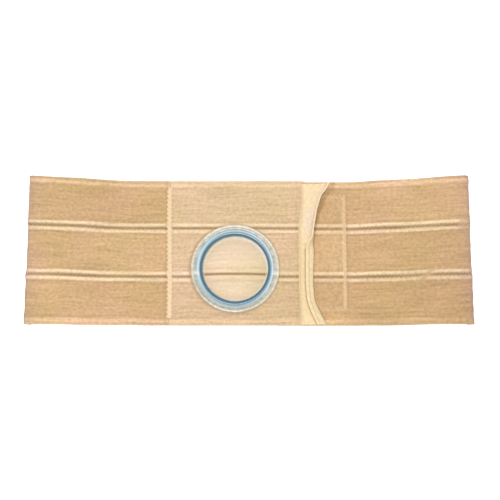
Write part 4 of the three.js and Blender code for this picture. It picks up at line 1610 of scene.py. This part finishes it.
def dress_belt():
    wrap_trim = {"middle": [wrap_seam_stitches()]}
    panel_trim = {"middle": [panel_seam_stitches(), panel_hem_stitches(), seam_tape(), tape_stitches()]}
    for place in BANDS:
        cloth, length = wrap_band(place)
    for place in BANDS:
        cloth = panel_band(place)
        hole = opening_area(BANDS[place]["row"] * BAND_PITCH)
        if hole > 0:
            cut_pouch_opening(cloth)
    landing_patch()
    patch_stitches()
    end_tab()
    tab_stitches()
    pouch_ring()
    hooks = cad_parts["hook_strip"]
    hooks.data.materials.clear()
    hooks.data.materials.append(HOOK_PLASTIC)


dress_belt()


# Stage, light and camera
CAMERA_PLACE = (1.05 * MM, -132.14 * MM, 879.55 * MM)
CAMERA_TILT = math.radians(8.84)
CAMERA_LENS = 60.45
SENSOR_WIDTH = 36
FLOOR_SIZE = 6.0
FLOOR_Z = -0.2 * MM
SKY_STRENGTH = 0.5
LIGHT_PLACE = (-0.12, -0.2, 1.7)
LIGHT_SIZE = 0.5
LIGHT_POWER = 21.6


def add_floor():
    """A flat square of paper just under the belt."""
    half = FLOOR_SIZE / 2
    mesh = bpy.data.meshes.new("floor")
    corners = [(x * half, y * half, FLOOR_Z) for x, y in ((-1, -1), (1, -1), (1, 1), (-1, 1))]
    mesh.from_pydata(corners, [], [(0, 1, 2, 3)])
    mesh.materials.append(FLOOR_PAPER)
    floor = put_in_scene("floor", mesh)


def add_light():
    """A square soft light over the belt, turned towards its middle."""
    light = bpy.data.lights.new("key", "AREA")
    light.shape = "SQUARE"
    light.size = LIGHT_SIZE
    light.energy = LIGHT_POWER
    lamp = put_in_scene("key", light)
    x, y, z = LIGHT_PLACE
    lamp.location = LIGHT_PLACE
    lamp.rotation_euler = (math.atan2(math.hypot(x, y), z), 0, math.atan2(y, x) + QUARTER)


def add_camera():
    """The camera at the photograph's angle: over the belt, tilted a little towards its lower edge."""
    camera = bpy.data.cameras.new("camera")
    camera.lens = CAMERA_LENS
    camera.sensor_width = SENSOR_WIDTH
    holder = put_in_scene("camera", camera)
    holder.location = CAMERA_PLACE
    holder.rotation_euler = (CAMERA_TILT, 0, 0)
    bpy.context.scene.camera = holder


def set_sky():
    """An even white surround."""
    world = bpy.data.worlds.new("studio")
    world.use_nodes = True
    background = find_node(world.node_tree, "BACKGROUND")
    fill_sockets(world.node_tree, background, {"Color": WHITE, "Strength": SKY_STRENGTH})
    bpy.context.scene.world = world


add_floor()
set_sky()
add_light()
add_camera()
bpy.context.scene.view_settings.view_transform = "Standard"
